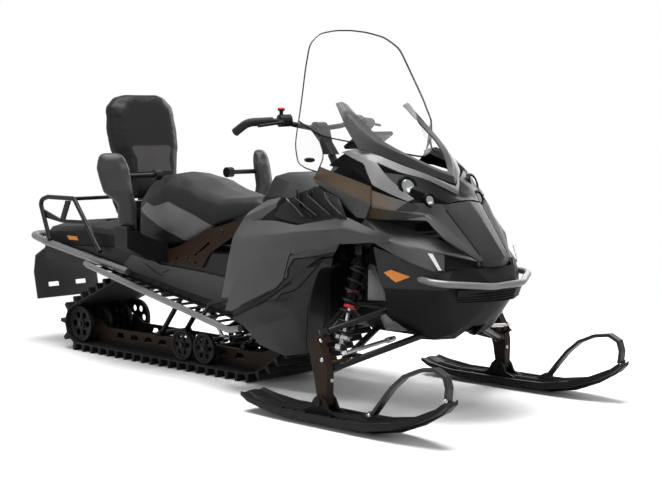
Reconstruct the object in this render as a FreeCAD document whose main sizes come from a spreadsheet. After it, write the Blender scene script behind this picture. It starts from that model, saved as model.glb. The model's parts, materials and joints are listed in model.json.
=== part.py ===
"""A two-seat touring snowmobile on one rubber track, built as an assembly of separate pieces.

Frame: X forward, Y to the rider's left, Z up. The origin is on the floor, in the middle of the
machine's length and width. All sizes are millimetres and degrees, kept in the document's sheet.
"""

import FreeCAD, Part
import math
import os
import re
import Sketcher
from FreeCAD import Vector

SIZES = [
    # skis and steering
    ("ski_stance", 1074), ("ski_width", 165), ("ski_tail_x", 434), ("ski_tip_x", 1490),
    ("ski_base", 12), ("ski_keel_depth", 16),
    ("ski_pin_x", 886), ("ski_pin_height", 81), ("ski_pin_radius", 7), ("ski_saddle_gap", 46),
    ("ski_loop_width", 34), ("ski_loop_strap", 13),
    ("spindle_thick", 36), ("kingpin_low_x", 903), ("kingpin_low_height", 205),
    ("kingpin_top_x", 842), ("kingpin_top_height", 330), ("ball_radius", 15),
    ("tie_rod_radius", 8),
    ("arm_tube_radius", 13), ("lower_arm_front_x", 1055), ("lower_arm_rear_x", 800),
    ("lower_arm_inner_height", 312),
    ("upper_arm_front_x", 985), ("upper_arm_rear_x", 680), ("upper_arm_inner_height", 428),
    ("shock_low_y", 400), ("shock_low_height", 262), ("shock_top_y", 268), ("shock_top_height", 618),
    ("shock_body_radius", 22), ("shock_rod_radius", 7), ("spring_radius", 36), ("spring_wire", 5),
    ("spring_turns", 8),
    # front frame
    ("frame_half", 124), ("frame_sheet", 5), ("frame_front_x", 1062), ("frame_low", 292), ("frame_top", 655),
    ("frame_hole", 26), ("tower_radius", 14), ("tower_rise", 38), ("engine_side_gap", 15),
    # handlebar and column
    ("bar_half_width", 384), ("bar_radius", 11), ("grip_radius", 17),
    ("bar_centre_x", 322), ("bar_centre_height", 1082), ("column_tilt", 32), ("column_length", 370),
    ("column_radius", 16),
    ("display_x", 560), ("display_height", 1010), ("display_thick", 16), ("display_width", 190), ("display_tall", 112),
    # track and rear suspension
    ("track_width", 406), ("track_belt", 7), ("lug_height", 34), ("lug_pitch", 64),
    ("lug_thick", 12), ("rail_y", 105), ("rail_thick", 12), ("rail_height", 62), ("slider_width", 24),
    ("slider_height", 14), ("rear_axle_x", -1105), ("rear_wheel_radius", 89), ("idler_radius", 70),
    ("idler_front_x", -203), ("idler_gap_x", 148), ("wheel_width", 22), ("outer_wheel_y", 172),
    ("inner_wheel_y", 62), ("carrier_x", -545), ("carrier_height", 402), ("carrier_radius", 66),
    ("drive_x", 425), ("drive_height", 352), ("drive_radius", 82), ("rail_nose_radius", 260),
    ("rail_nose_x", 60), ("axle_radius", 11), ("axle_stub", 16), ("rim_depth", 18), ("wheel_hub", 26),
    ("idler_hub", 22), ("carrier_hub", 20), ("carrier_wheel_y", 82), ("drive_axle_radius", 16),
    ("sprocket_step", 80), ("sprocket_width", 28), ("tooth_depth", 14),
    # tunnel, boards and rear end
    ("tunnel_half", 214), ("tunnel_sheet", 3), ("tunnel_top_rear", 505), ("tunnel_top_front", 560),
    ("tunnel_rear_x", -1340), ("tunnel_front_x", 600), ("tunnel_front_low", 300), ("tunnel_skirt", 70),
    ("board_rear_x", -880), ("board_front_x", 200), ("board_rear_height", 428), ("board_front_height", 250),
    ("board_rear_out", 292), ("board_front_out", 395), ("board_sheet", 4), ("board_tube_radius", 14),
    ("bumper_rear_x", -1466), ("bumper_half", 232), ("bumper_tail_half", 204), ("bumper_rear_height", 545),
    ("bumper_front_rail_x", -665), ("bumper_front_rail_height", 420), ("bumper_tube_radius", 17),
    ("flap_half", 190), ("flap_low", 222), ("flap_sheet", 6), ("flap_bend_x", -1478), ("flap_bend_height", 354),
    ("rack_half", 222), ("rack_tube_radius", 11), ("rack_top_height", 738),
    # seat and passenger
    ("seat_half", 190), ("seat_plate_sheet", 7.8), ("backrest_half", 208), ("backrest_x", -784),
    ("backrest_top", 1244), ("backrest_low", 735), ("backrest_thick", 105),
    ("guard_y", 444), ("guard_x", -490), ("guard_top", 974), ("grip_bar_height", 868),
    ("grip_bar_x", -470), ("grip_bar_radius", 11),
    # body
    ("panel_wall", 6), ("glass_thick", 4), ("bumper_bar_radius", 13),
    # clearances and plate thicknesses
    ("seat_gap", 0.3), ("rail_gap", 1), ("wheel_gap", 2.4), ("bore_gap", 0.3), ("bolt_radius", 6),
]

doc = FreeCAD.newDocument("snowmobile")
sheet = doc.addObject("Spreadsheet::Sheet", "Sizes")
for row, (alias, value) in enumerate(SIZES, start=1):
    sheet.set(f"A{row}", alias)
    sheet.set(f"B{row}", str(value))
    sheet.setAlias(f"B{row}", alias)
doc.recompute()


class Sizes:
    """The sheet's values by name."""

    def __getattr__(self, alias):
        return float(sheet.get(alias))


d = Sizes()
nodes = []
ALIASES = {alias for alias, _ in SIZES}


def bound(text):
    """A size written with the sheet's names, as an expression of the document."""
    return re.sub("[a-z_]+", lambda word: "Sizes." + word[0] if word[0] in ALIASES else word[0], str(text))


def value(text):
    """The number that such a text stands for now."""
    return float(sheet.evalExpression(bound(text)))


def bind(made, sizes, at=("0", "0", "0")):
    """Binds an object's sizes and place to the sheet."""
    for key, text in sizes.items():
        made.setExpression(key, bound(text))
    for axis, text in zip("xyz", at):
        made.setExpression("Placement.Base." + axis, bound(text))
    return made


def box(name, length, width, height, at):
    """A box bound to the sheet."""
    return bind(doc.addObject("Part::Box", name), {"Length": length, "Width": width, "Height": height}, at)


def cross_cylinder(name, radius, length, at):
    """A round bar bound to the sheet, lying across the machine."""
    made = doc.addObject("Part::Cylinder", name)
    made.Placement.Rotation = FreeCAD.Rotation(Vector(1, 0, 0), -90)
    return bind(made, {"Radius": radius, "Height": length}, at)


def new_body(name, at=("0", "0", "0")):
    return bind(doc.addObject("PartDesign::Body", name), {}, at)


def origin_of(body, role):
    """One of a body's own origin planes or axes."""
    return next(feature for feature in body.Origin.OriginFeatures if feature.Role == role)


def sketch_on(body, role, away="0"):
    """An empty sketch on one of a body's planes, moved along its normal."""
    made = body.newObject("Sketcher::SketchObject", body.Name + "_sketch")
    made.AttachmentSupport = [(origin_of(body, role), "")]
    made.MapMode = "FlatFace"
    made.setExpression("AttachmentOffset.Base.z", bound(away))
    return made


def hold(sketch, kind, where, text):
    """Adds a dimension to a sketch and binds it to the sheet."""
    index = sketch.addConstraint(Sketcher.Constraint(kind, *where, value(text)))
    if isinstance(text, str):
        sketch.setExpression(f"Constraints[{index}]", bound(text))


def outline(body, role, corners, away="0"):
    """A closed outline whose corners are held by their distances from the origin."""
    sketch = sketch_on(body, role, away)
    places = [Vector(value(u), value(v), 0) for u, v in corners]
    sketch.addGeometry([Part.LineSegment(a, b) for a, b in zip(places, places[1:] + places[:1])], False)
    for k, (u, v) in enumerate(corners):
        sketch.addConstraint(Sketcher.Constraint("Coincident", k, 2, (k + 1) % len(corners), 1))
        hold(sketch, "DistanceX", (-1, 1, k, 1), u)
        hold(sketch, "DistanceY", (-1, 1, k, 1), v)
    return sketch


def circles(body, role, rounds, away="0"):
    """Circles, each given by its middle and radius."""
    sketch = sketch_on(body, role, away)
    for u, v, radius in rounds:
        middle = Vector(value(u), value(v), 0)
        k = sketch.addGeometry(Part.Circle(middle, Vector(0, 0, 1), value(radius)), False)
        hold(sketch, "DistanceX", (-1, 1, k, 3), u)
        hold(sketch, "DistanceY", (-1, 1, k, 3), v)
        hold(sketch, "Radius", (k,), radius)
    return sketch


def pad(body, sketch, length, side="Symmetric"):
    """Grows a sketch into a plate, half each way or to the side of its normal."""
    made = body.newObject("PartDesign::Pad", body.Name + "_pad")
    made.Profile = sketch
    made.SideType = side
    made.setExpression("Length", bound(length))
    return made


def pocket(body, sketch, length=None):
    """Cuts a sketch out of a body, right through or half of a length each way."""
    made = body.newObject("PartDesign::Pocket", body.Name + "_pocket")
    made.Profile = sketch
    made.SideType = "Symmetric"
    if length is None:
        made.Type = "ThroughAll"
    else:
        made.setExpression("Length", bound(length))
    return made


def row_of(body, feature, axis, length, count):
    """Repeats a feature in a row that ends at a length along an axis of the body."""
    made = body.newObject("PartDesign::LinearPattern", body.Name + "_row")
    made.Originals = [feature]
    made.Direction = (origin_of(body, axis), [""])
    made.setExpression("Length", bound(length))
    made.Occurrences = count
    body.Tip = made
    return made


def ring_of(body, feature, axis, count):
    """Repeats a feature evenly round an axis of the body."""
    made = body.newObject("PartDesign::PolarPattern", body.Name + "_ring")
    made.Originals = [feature]
    made.Axis = (origin_of(body, axis), [""])
    made.Angle = 360
    made.Occurrences = count
    body.Tip = made
    return made


def placed(source, name, at):
    """A copy of a body at a place of its own."""
    made = doc.addObject("App::Link", name)
    made.LinkedObject = source
    return bind(made, {}, at)


def mirrored(source):
    """An object's twin on the other side of the machine."""
    twin = doc.addObject("Part::Mirroring", source.Name + "_twin")
    twin.Source = source
    twin.Normal = Vector(0, 1, 0)
    return twin


def joined(kind, name, objects):
    """A compound or a fusion of objects, filed as the sub-part called name."""
    made = doc.addObject("Part::" + kind, name)
    setattr(made, "Links" if kind == "Compound" else "Shapes", objects)
    doc.recompute()
    return keep_object(made, name)


def lofted(body, role, sections):
    """A solid through outlines on planes along one normal, each given with its distance."""
    sketches = [outline(body, role, corners, away) for away, corners in sections]
    made = body.newObject("PartDesign::AdditiveLoft", body.Name + "_loft")
    made.Profile = sketches[0]
    made.Sections = sketches[1:]
    made.Ruled = True
    return made


def keep(name, shape):
    """Files a shape as the sub-part called name."""
    made = doc.addObject("Part::Feature", name)
    made.Label = name
    made.Shape = shape
    nodes.append(made)
    return made


def keep_object(made, name):
    """Files a parametric object as the sub-part called name."""
    made.Label = name
    nodes.append(made)
    return made


def both(shape):
    """A right-hand shape with its mirror image."""
    return Part.makeCompound([shape, mirror(shape)])


def mirror(shape):
    return shape.mirror(Vector(0, 0, 0), Vector(0, 1, 0))


def point(xyz):
    return Vector(*xyz)


def rod(start, end, radius):
    a, b = point(start), point(end)
    return Part.makeCylinder(radius, (b - a).Length, a, b - a)


def prism(outline, start, along):
    """Outline points (in 3-D, in one plane) extruded by a vector."""
    wire = Part.makePolygon([point(p) + Vector(*start) for p in [*outline, outline[0]]])
    return Part.Face(wire).extrude(Vector(*along))


def slab_y(outline, y_from, y_to):
    """A side-view outline of (x, z) points, extruded across the machine."""
    return prism([(x, y_from, z) for x, z in outline], (0, 0, 0), (0, y_to - y_from, 0))


def slab_z(outline, z_from, z_to):
    """A plan-view outline of (x, y) points, extruded upwards."""
    return prism([(x, y, z_from) for x, y in outline], (0, 0, 0), (0, 0, z_to - z_from))


def loft(sections, ruled=True):
    """A solid through closed sections, each a list of 3-D points."""
    wires = [Part.makePolygon([point(p) for p in [*s, s[0]]]) for s in sections]
    return Part.makeLoft(wires, True, ruled)


def bent_wire(points, bend):
    """A polyline whose corners are rounded by tangent arcs of radius bend."""
    corners = [point(p) for p in points]
    edges = []
    start = corners[0]
    for before, corner, after in zip(corners, corners[1:], corners[2:]):
        to_before = (before - corner).normalize()
        to_after = (after - corner).normalize()
        half = to_before.getAngle(to_after) / 2
        reach = min(bend / math.tan(half), 0.48 * (before - corner).Length, 0.48 * (after - corner).Length)
        first, last = corner + to_before * reach, corner + to_after * reach
        radius = reach * math.tan(half)
        bisector = (to_before + to_after).normalize()
        middle = corner + bisector * (radius / math.sin(half) - radius)
        edges.append(Part.makeLine(start, first))
        edges.append(Part.Arc(first, middle, last).toShape())
        start = last
    edges.append(Part.makeLine(start, corners[-1]))
    return Part.Wire(edges)


def tube(points, radius, bend):
    """A round bar bent along points."""
    path = bent_wire(points, bend)
    first = point(points[0])
    along = point(points[1]) - first
    ring = Part.Wire(Part.makeCircle(radius, first, along))
    return path.makePipeShell([ring], True, False)


def fuse(shapes):
    return shapes[0].multiFuse(shapes[1:]).removeSplitter()


def triangle(a, b, c):
    return Part.Face(Part.makePolygon([a, b, c, a]))


def moulding(lines, wall):
    """A thin moulded panel over its feature lines, each a list of as many points. The wall grows
    to the side from which the first line runs clockwise into the next."""
    rows = [[point(p) for p in line] for line in lines]
    n, m = len(rows), len(rows[0])
    normals = [[Vector(0, 0, 0) for _ in range(m)] for _ in range(n)]
    for i in range(n - 1):
        for j in range(m - 1):
            across = rows[i + 1][j + 1] - rows[i][j]
            down = rows[i + 1][j] - rows[i][j + 1]
            normal = across.cross(down)
            for a, b in ((i, j), (i + 1, j), (i, j + 1), (i + 1, j + 1)):
                normals[a][b] = normals[a][b] + normal.normalize() if normal.Length else normals[a][b]
    inner = [[p - normals[i][j].normalize() * wall for j, p in enumerate(row)] for i, row in enumerate(rows)]
    faces = []

    def quad(a, b, c, e):
        for three in ((a, b, c), (a, c, e)):
            if (three[1] - three[0]).cross(three[2] - three[0]).Length > 1e-6:
                faces.append(triangle(*three))

    for i in range(n - 1):
        for j in range(m - 1):
            quad(rows[i][j], rows[i][j + 1], rows[i + 1][j + 1], rows[i + 1][j])
            quad(inner[i][j], inner[i + 1][j], inner[i + 1][j + 1], inner[i][j + 1])
    for i in range(n - 1):
        quad(rows[i][0], rows[i + 1][0], inner[i + 1][0], inner[i][0])
        quad(rows[i][-1], inner[i][-1], inner[i + 1][-1], rows[i + 1][-1])
    for j in range(m - 1):
        quad(rows[0][j], inner[0][j], inner[0][j + 1], rows[0][j + 1])
        quad(rows[-1][j], rows[-1][j + 1], inner[-1][j + 1], inner[-1][j])
    shell = Part.makeShell(faces)
    shell.sewShape()
    solid = Part.makeSolid(Part.Shell(shell.Faces))
    if solid.Volume < 0:
        solid.reverse()
    return solid


def main_solid(shape):
    """The largest solid of a shape."""
    return max(shape.Solids, key=lambda s: s.Volume)


# the track: a belt round the rear wheels, the carrier wheels, the sprockets and the rails' noses

belt_low = d.lug_height + d.track_belt
rear_axle_z = belt_low + d.rear_wheel_radius
LOOP = [
    (d.rear_axle_x, rear_axle_z, d.rear_wheel_radius),
    (d.rail_nose_x, belt_low + d.rail_nose_radius, d.rail_nose_radius),
    (d.drive_x, d.drive_height, d.drive_radius),
    (d.carrier_x, d.carrier_height, d.carrier_radius),
]


def belt_stations():
    """Points (x, z) on the belt's inner face, its outward normals and distances, anticlockwise
    from the rear wheel's lowest point."""
    touch = []
    for (x0, z0, r0), (x1, z1, r1) in zip(LOOP, LOOP[1:] + LOOP[:1]):
        along = math.atan2(z1 - z0, x1 - x0)
        lean = math.asin((r0 - r1) / math.hypot(x1 - x0, z1 - z0))
        touch.append(along - math.pi / 2 + lean)
    runs = []
    for i, (x, z, r) in enumerate(LOOP):
        a0, a1 = touch[i - 1], touch[i]
        while a1 < a0:
            a1 += 2 * math.pi
        runs.append(("arc", x, z, r, a0, a1))
        x1, z1, r1 = LOOP[(i + 1) % len(LOOP)]
        start = (x + r * math.cos(a1), z + r * math.sin(a1))
        end = (x1 + r1 * math.cos(a1), z1 + r1 * math.sin(a1))
        runs.append(("line", start, end, a1))
    return runs


def belt_point(runs, distance):
    """The belt's inner face at a distance along it: (x, z) and the outward normal's angle."""
    for run in runs:
        if run[0] == "arc":
            length = run[3] * (run[5] - run[4])
            if distance <= length:
                a = run[4] + distance / run[3]
                return run[1] + run[3] * math.cos(a), run[2] + run[3] * math.sin(a), a
        else:
            length = math.dist(run[1], run[2])
            if distance <= length:
                f = distance / length
                return (run[1][0] + f * (run[2][0] - run[1][0]), run[1][1] + f * (run[2][1] - run[1][1]), run[3])
        distance -= length
    return belt_point(runs, 0)


belt_runs = belt_stations()
belt_length = sum(r[3] * (r[5] - r[4]) if r[0] == "arc" else math.dist(r[1], r[2]) for r in belt_runs)
lug_count = round(belt_length / d.lug_pitch)
lug_step = belt_length / lug_count


def belt_loop(lugs, phase, half_width, y_middle):
    """A stretch of the belt, lugs and all, of one width across the machine."""
    outer = []
    for i in range(lug_count):
        at = (i + phase) * lug_step
        half = d.lug_thick / 2
        marks = [(at - half - 5, 0), (at - half, lugs), (at + half, lugs), (at + half + 5, 0)]
        for distance, rise in marks:
            x, z, a = belt_point(belt_runs, distance % belt_length)
            out = d.track_belt + rise
            outer.append((x + out * math.cos(a), z + out * math.sin(a)))
    inner = []
    for i in range(2 * lug_count):
        x, z, a = belt_point(belt_runs, i * lug_step / 2)
        inner.append((x, z))
    ring = Part.Face([
        Part.makePolygon([Vector(x, y_middle - half_width, z) for x, z in [*outer, outer[0]]]),
        Part.makePolygon([Vector(x, y_middle - half_width, z) for x, z in [*inner, inner[0]]]),
    ])
    ring.validate()
    return ring.extrude(Vector(0, 2 * half_width, 0))


track_half = d.track_width / 2
centre_half = 0.31 * track_half
side_middle = (track_half + centre_half) / 2
side_half = (track_half - centre_half) / 2
track = fuse([
    belt_loop(d.lug_height, 0.0, centre_half, 0),
    belt_loop(d.lug_height, 0.5, side_half, side_middle),
    belt_loop(d.lug_height, 0.5, side_half, -side_middle),
])
keep("track", track)

# slide rails: bars with an upturned nose, a row of openings and a slider along the bottom


def rail_edge(distance_in, count=9):
    """The nose's curve at a distance inside the belt."""
    r = d.rail_nose_radius - distance_in
    z0 = belt_low + d.rail_nose_radius
    steps = [math.radians(38 * i / (count - 1)) for i in range(count)]
    return [(d.rail_nose_x + r * math.sin(a), z0 - r * math.cos(a)) for a in steps]


clear = d.rail_gap
low_edge = [(d.rear_axle_x - 20, belt_low + clear + d.slider_height)]
low_edge += rail_edge(clear + d.slider_height)
high_edge = [(d.rear_axle_x - 20, rear_axle_z + 22), (d.rear_axle_x + 60, rear_axle_z + 22)]
high_edge += [(d.rear_axle_x + 130, belt_low + clear + d.slider_height + d.rail_height)]
high_edge += rail_edge(clear + d.slider_height + d.rail_height)
rail_face = [*low_edge, *reversed(high_edge)]
slider_face = [(d.rear_axle_x + 70, belt_low + clear)] + rail_edge(clear)
slider_face += list(reversed([(d.rear_axle_x + 70, belt_low + clear + d.slider_height)] + rail_edge(clear + d.slider_height)))
rails, sliders = [], []
for side in (-1, 1):
    y0 = side * d.rail_y - d.rail_thick / 2
    rail = slab_y(rail_face, y0, y0 + d.rail_thick)
    for i in range(9):
        x = d.rear_axle_x + 190 + 105 * i
        z = belt_low + d.slider_height + 0.55 * d.rail_height
        hole = slab_y([(x, z - 12), (x + 62, z - 12), (x + 50, z + 12), (x + 12, z + 12)], y0 - 1, y0 + d.rail_thick + 1)
        rail = rail.cut(hole)
    rail = rail.cut(rod((d.rear_axle_x, y0 - 1, rear_axle_z), (d.rear_axle_x, y0 + d.rail_thick + 1, rear_axle_z),
                        d.axle_radius + clear))
    rails.append(rail)
    y1 = side * d.rail_y - d.slider_width / 2
    sliders.append(slab_y(slider_face, y1, y1 + d.slider_width))
keep("slide_rails", Part.makeCompound(rails))
keep("sliders", Part.makeCompound(sliders))


def wheel(name, radius, hub):
    """A wheel about its own Y axis: hub, thin web with six openings and a rubber rim."""
    body = new_body(name)
    web = f"(({radius}) - rim_depth)"
    thin = "0.175 * wheel_width"
    turned = body.newObject("PartDesign::Revolution", name + "_turned")
    turned.Profile = outline(body, "XY_Plane", [
        ("axle_radius + bore_gap", "-0.4 * wheel_width"), (hub, "-0.4 * wheel_width"), (hub, "-" + thin),
        (web, "-" + thin), (f"{web} + 6", "-0.5 * wheel_width"), (f"{radius} - 2", "-0.5 * wheel_width"),
        (radius, "3 - 0.5 * wheel_width"), (radius, "0.5 * wheel_width - 3"),
        (f"{radius} - 2", "0.5 * wheel_width"), (f"{web} + 6", "0.5 * wheel_width"), (web, thin), (hub, thin),
        (hub, "0.4 * wheel_width"), ("axle_radius + bore_gap", "0.4 * wheel_width"),
    ])
    turned.ReferenceAxis = (origin_of(body, "Y_Axis"), [""])
    doc.recompute()
    opening = circles(body, "XZ_Plane", [(f"({hub} + {web}) / 2", 0, f"0.3 * ({web} - {hub}) + 3")])
    ring_of(body, pocket(body, opening), "Y_Axis", 6)
    return body


rear_wheel = wheel("rear_wheel", "rear_wheel_radius - wheel_gap", "wheel_hub")
idler = wheel("idler", "idler_radius", "idler_hub")
carrier = wheel("carrier", "carrier_radius - wheel_gap", "carrier_hub")
IDLER_Z = "lug_height + track_belt + idler_radius + rail_gap / 2"
WHEELS = [(rear_wheel, "rear_axle_x", y, "lug_height + track_belt + rear_wheel_radius")
          for y in ("outer_wheel_y", "inner_wheel_y")]
WHEELS += [(idler, x, "outer_wheel_y", IDLER_Z) for x in ("idler_front_x", "idler_front_x - idler_gap_x")]
WHEELS += [(carrier, "carrier_x", "carrier_wheel_y", "carrier_height")]
copies = []
for source, x, y, z in WHEELS:
    for way in ("", "-"):
        copies.append(placed(source, source.Name + "_placed", (x, way + y, z)))
joined("Compound", "rail_wheels", copies)
idler_z = value(IDLER_Z)
idler_rear_x = d.idler_front_x - d.idler_gap_x
inside = d.tunnel_half - d.tunnel_sheet - d.seat_gap


def cross_rod(at, half, radius):
    return rod((at[0], -half, at[1]), (at[0], half, at[1]), radius)


axle_half = d.outer_wheel_y + d.axle_stub
axles = Part.makeCompound([
    cross_rod((d.rear_axle_x, rear_axle_z), axle_half, d.axle_radius),
    cross_rod((d.idler_front_x, idler_z), axle_half, d.axle_radius - 1),
    cross_rod((idler_rear_x, idler_z), axle_half, d.axle_radius - 1),
    cross_rod((d.carrier_x, d.carrier_height), inside, d.axle_radius),
])

# drive axle with a row of four toothed wheels

drive = new_body("drive_axle", ("drive_x", "0", "drive_height"))
pad(drive, circles(drive, "XZ_Plane", [(0, 0, "drive_axle_radius")]), "2 * (tunnel_half - tunnel_sheet - seat_gap)")
TEETH = 9
tooth_ring = []
for i in range(4 * TEETH):
    reach = "(drive_radius - wheel_gap)" if i % 4 in (0, 1) else "(drive_radius - tooth_depth)"
    tooth_ring.append((f"{reach} * cos({360 * i / (4 * TEETH)} deg)", f"{reach} * sin({360 * i / (4 * TEETH)} deg)"))
toothed = pad(drive, outline(drive, "XZ_Plane", tooth_ring, "1.5 * sprocket_step - sprocket_width / 2"), "sprocket_width",
              "One side")
row_of(drive, toothed, "Y_Axis", "3 * sprocket_step", 4)
keep_object(drive, "drive_axle")

# suspension arms and shocks between the rails, and their pivots on the tunnel

between_rails = d.rail_y - d.rail_thick / 2 - 0.2
arm_tube = d.arm_tube_radius
front_foot, front_head = (-40, 128), (250, 395)
rear_foot, rear_head = (-620, 122), (-445, 340)
centre_pin, rear_pin = (-100, 150), (-270, 128)

front_arm = fuse([cross_rod(front_foot, between_rails, arm_tube),
                  cross_rod(front_head, inside, arm_tube),
                  *[rod((front_foot[0], y, front_foot[1]), (front_head[0], y, front_head[1]), arm_tube - 1) for y in (-66, 66)]])
rear_arm = fuse([cross_rod(rear_foot, between_rails, arm_tube),
                 cross_rod(rear_head, inside, arm_tube),
                 *[rod((rear_foot[0], y, rear_foot[1]), (rear_head[0], y, rear_head[1]), arm_tube - 1) for y in (-76, 76)]])
pins = [cross_rod(at, between_rails, 10) for at in (centre_pin, rear_pin)]
keep("suspension_arms", Part.makeCompound([front_arm, rear_arm, axles, *pins]))


def cross_damper(low, low_pin, high, high_pin, body, rod_radius, share):
    """A shock absorber between two cross tubes, with an eye round each."""
    a, b = Vector(low[0], 0, low[1]), Vector(high[0], 0, high[1])
    along = (b - a).normalize()
    middle = a + along * ((b - a).Length * share)
    made = Part.makeCylinder(body, (b - middle).Length - 34, middle, along)
    made = made.multiFuse([Part.makeCylinder(rod_radius, (b - a).Length - 24, a + along * 12, along),
                           Part.makeCylinder(low_pin + 8, 30, a - Vector(0, 15, 0), Vector(0, 1, 0)),
                           Part.makeCylinder(high_pin + 8, 30, b - Vector(0, 15, 0), Vector(0, 1, 0))])
    for end, pin in ((a, low_pin), (b, high_pin)):
        made = made.cut(Part.makeCylinder(pin + 0.3, 80, end - Vector(0, 40, 0), Vector(0, 1, 0)))
    return made.removeSplitter()


centre_shock = cross_damper(centre_pin, 10, front_head, arm_tube, 26, 9, 0.4)
rear_shock = cross_damper(rear_pin, 10, rear_head, arm_tube, 26, 9, 0.4)
keep("rear_shocks", Part.makeCompound([centre_shock, rear_shock]))

# tunnel: a folded sheet over the track, open below, with the boards' line as its lower edge


def board_height(x):
    """The height of the boards' top at a place along the machine."""
    span = (x - d.board_rear_x) / (d.board_front_x - d.board_rear_x)
    return d.board_rear_height + span * (d.board_front_height - d.board_rear_height)


def board_out(x):
    """How far out the boards' edge tube lies."""
    span = (x - d.board_rear_x) / (d.board_front_x - d.board_rear_x)
    return d.board_rear_out + span * (d.board_front_out - d.board_rear_out)


def tunnel_top(x):
    """The height of the tunnel's roof at a place along the machine."""
    span = (x - d.tunnel_rear_x) / (d.tunnel_front_x - d.tunnel_rear_x)
    return d.tunnel_top_rear + span * (d.tunnel_top_front - d.tunnel_top_rear)


outer_half = d.tunnel_half
tunnel = new_body("tunnel")
pad(tunnel, outline(tunnel, "XZ_Plane", [
    ("tunnel_rear_x", "tunnel_top_rear"), ("tunnel_rear_x", "tunnel_top_rear - tunnel_skirt"),
    ("board_rear_x", "board_rear_height"), ("board_front_x", "board_front_height"),
    ("tunnel_front_x + tunnel_sheet", "tunnel_front_low"), ("tunnel_front_x + tunnel_sheet", "tunnel_top_front"),
]), "2 * tunnel_half")
doc.recompute()
pocket(tunnel, outline(tunnel, "XZ_Plane", [
    ("tunnel_rear_x - tunnel_sheet", "tunnel_top_rear - tunnel_sheet"), ("tunnel_rear_x - tunnel_sheet", 0),
    ("tunnel_front_x", 0), ("tunnel_front_x", "tunnel_top_front - tunnel_sheet"),
]), "2 * (tunnel_half - tunnel_sheet)")
keep_object(tunnel, "tunnel")
doc.recompute()

# running boards with rows of snow openings, their pale edge tubes and the foot rests

boards, edge_tubes, foot_rests, toe_bars = [], [], [], []
for side in (-1, 1):
    a, b = d.board_rear_x, d.board_front_x
    rear_z, front_z = board_height(a), board_height(b)
    tube_in = 8
    top = [(a, side * outer_half, rear_z), (b, side * outer_half, front_z),
           (b, side * (board_out(b) - tube_in), front_z), (a, side * (board_out(a) - tube_in), rear_z)]
    board = Part.Face(Part.makePolygon([point(p) for p in [*top, top[0]]])).extrude(Vector(0, 0, -d.board_sheet))
    cuts = []
    for i in range(14):
        x = a + 60 + 68 * i
        y_in, y_out = outer_half + 14, board_out(x) - 30
        cuts.append(Part.makeBox(44, y_out - y_in, 60, Vector(x, min(side * y_in, side * y_out), board_height(x) - 40)))
    boards.append(board.cut(Part.makeCompound(cuts)))
    edge_tubes.append(tube([(a - 40, side * (board_out(a) - 14), rear_z + 16), (a, side * board_out(a), rear_z + 10),
                            (b, side * board_out(b), front_z + 10), (b + 60, side * (board_out(b) - 8), front_z + 22)],
                           d.board_tube_radius, 60))
keep("running_boards", Part.makeCompound(boards))
keep("board_edge_tubes", Part.makeCompound(edge_tubes))
for side in (-1, 1):
    low, high = (d.board_front_x - 60, board_height(d.board_front_x - 60) + 0.2), (d.board_front_x + 90, 345)
    face = [(low[0], low[1]), (high[0], high[1]), (high[0] + 6, high[1] - 6), (low[0] + 10, low[1])]
    y0, y1 = sorted((side * (outer_half + 2), side * 366))
    rest = slab_y(face, y0, y1)
    for i in range(3):
        f = 0.22 + 0.26 * i
        x = low[0] + f * (high[0] - low[0])
        z = low[1] + f * (high[1] - low[1])
        rest = rest.cut(Part.makeBox(18, y1 - y0 - 50, 60, Vector(x, y0 + 25, z - 30)))
    foot_rests.append(rest)
    hook = tube([(d.board_front_x - 190, side * 372, board_height(10) + 8), (d.board_front_x - 150, side * 362, 352),
                 (d.board_front_x - 60, side * 330, 372), (d.board_front_x + 60, side * 300, 372)], 8, 30)
    toe_bars.append(hook)
keep("foot_rests", Part.makeCompound([*foot_rests, *toe_bars]))

# moulded covers on the tunnel's sides and the bronze plates that carry the seat

cover_profile = [(-700, 452), (-640, 500), (-560, 506), (-440, 470), (-150, 455), (130, 430), (180, 400),
                 (190, 300), (60, 318), (-300, 372), (-640, 424)]
covers = [slab_y(cover_profile, *sorted((side * (outer_half + 0.2), side * (outer_half + 14)))) for side in (-1, 1)]
crease = [(-560, 470), (-470, 430), (-420, 418), (-350, 446), (-380, 452), (-425, 432), (-470, 444)]
covers = [c.cut(slab_y(crease, *sorted((side * (outer_half + 10), side * (outer_half + 20)))))
          for c, side in zip(covers, (-1, 1))]
keep("tunnel_covers", Part.makeCompound(covers))
plate = new_body("seat_plate")
pad(plate, outline(plate, "XZ_Plane", [
    (-600, 512), (-450, 522), (-300, 565), (-130, 640), (100, 700), (190, 712), (190, 672), (100, 655),
    (-20, 590), (-110, 540), (-160, 474), (-300, 480), (-420, 482), (-560, 514),
], "-(tunnel_half + seat_gap + seat_plate_sheet)"), "seat_plate_sheet", "One side")
doc.recompute()
pocket(plate, outline(plate, "XZ_Plane", [(-210, 530), (-204, 524), (-110, 582), (-116, 590)]))
pocket(plate, circles(plate, "XZ_Plane", [(-330, 505, "bolt_radius"), (-205, 495, "bolt_radius")]))
seat_plates = joined("Compound", "seat_plates", [plate, mirrored(plate)])

# rear bumper bar, snow flap, cargo deck and its rack

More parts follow.
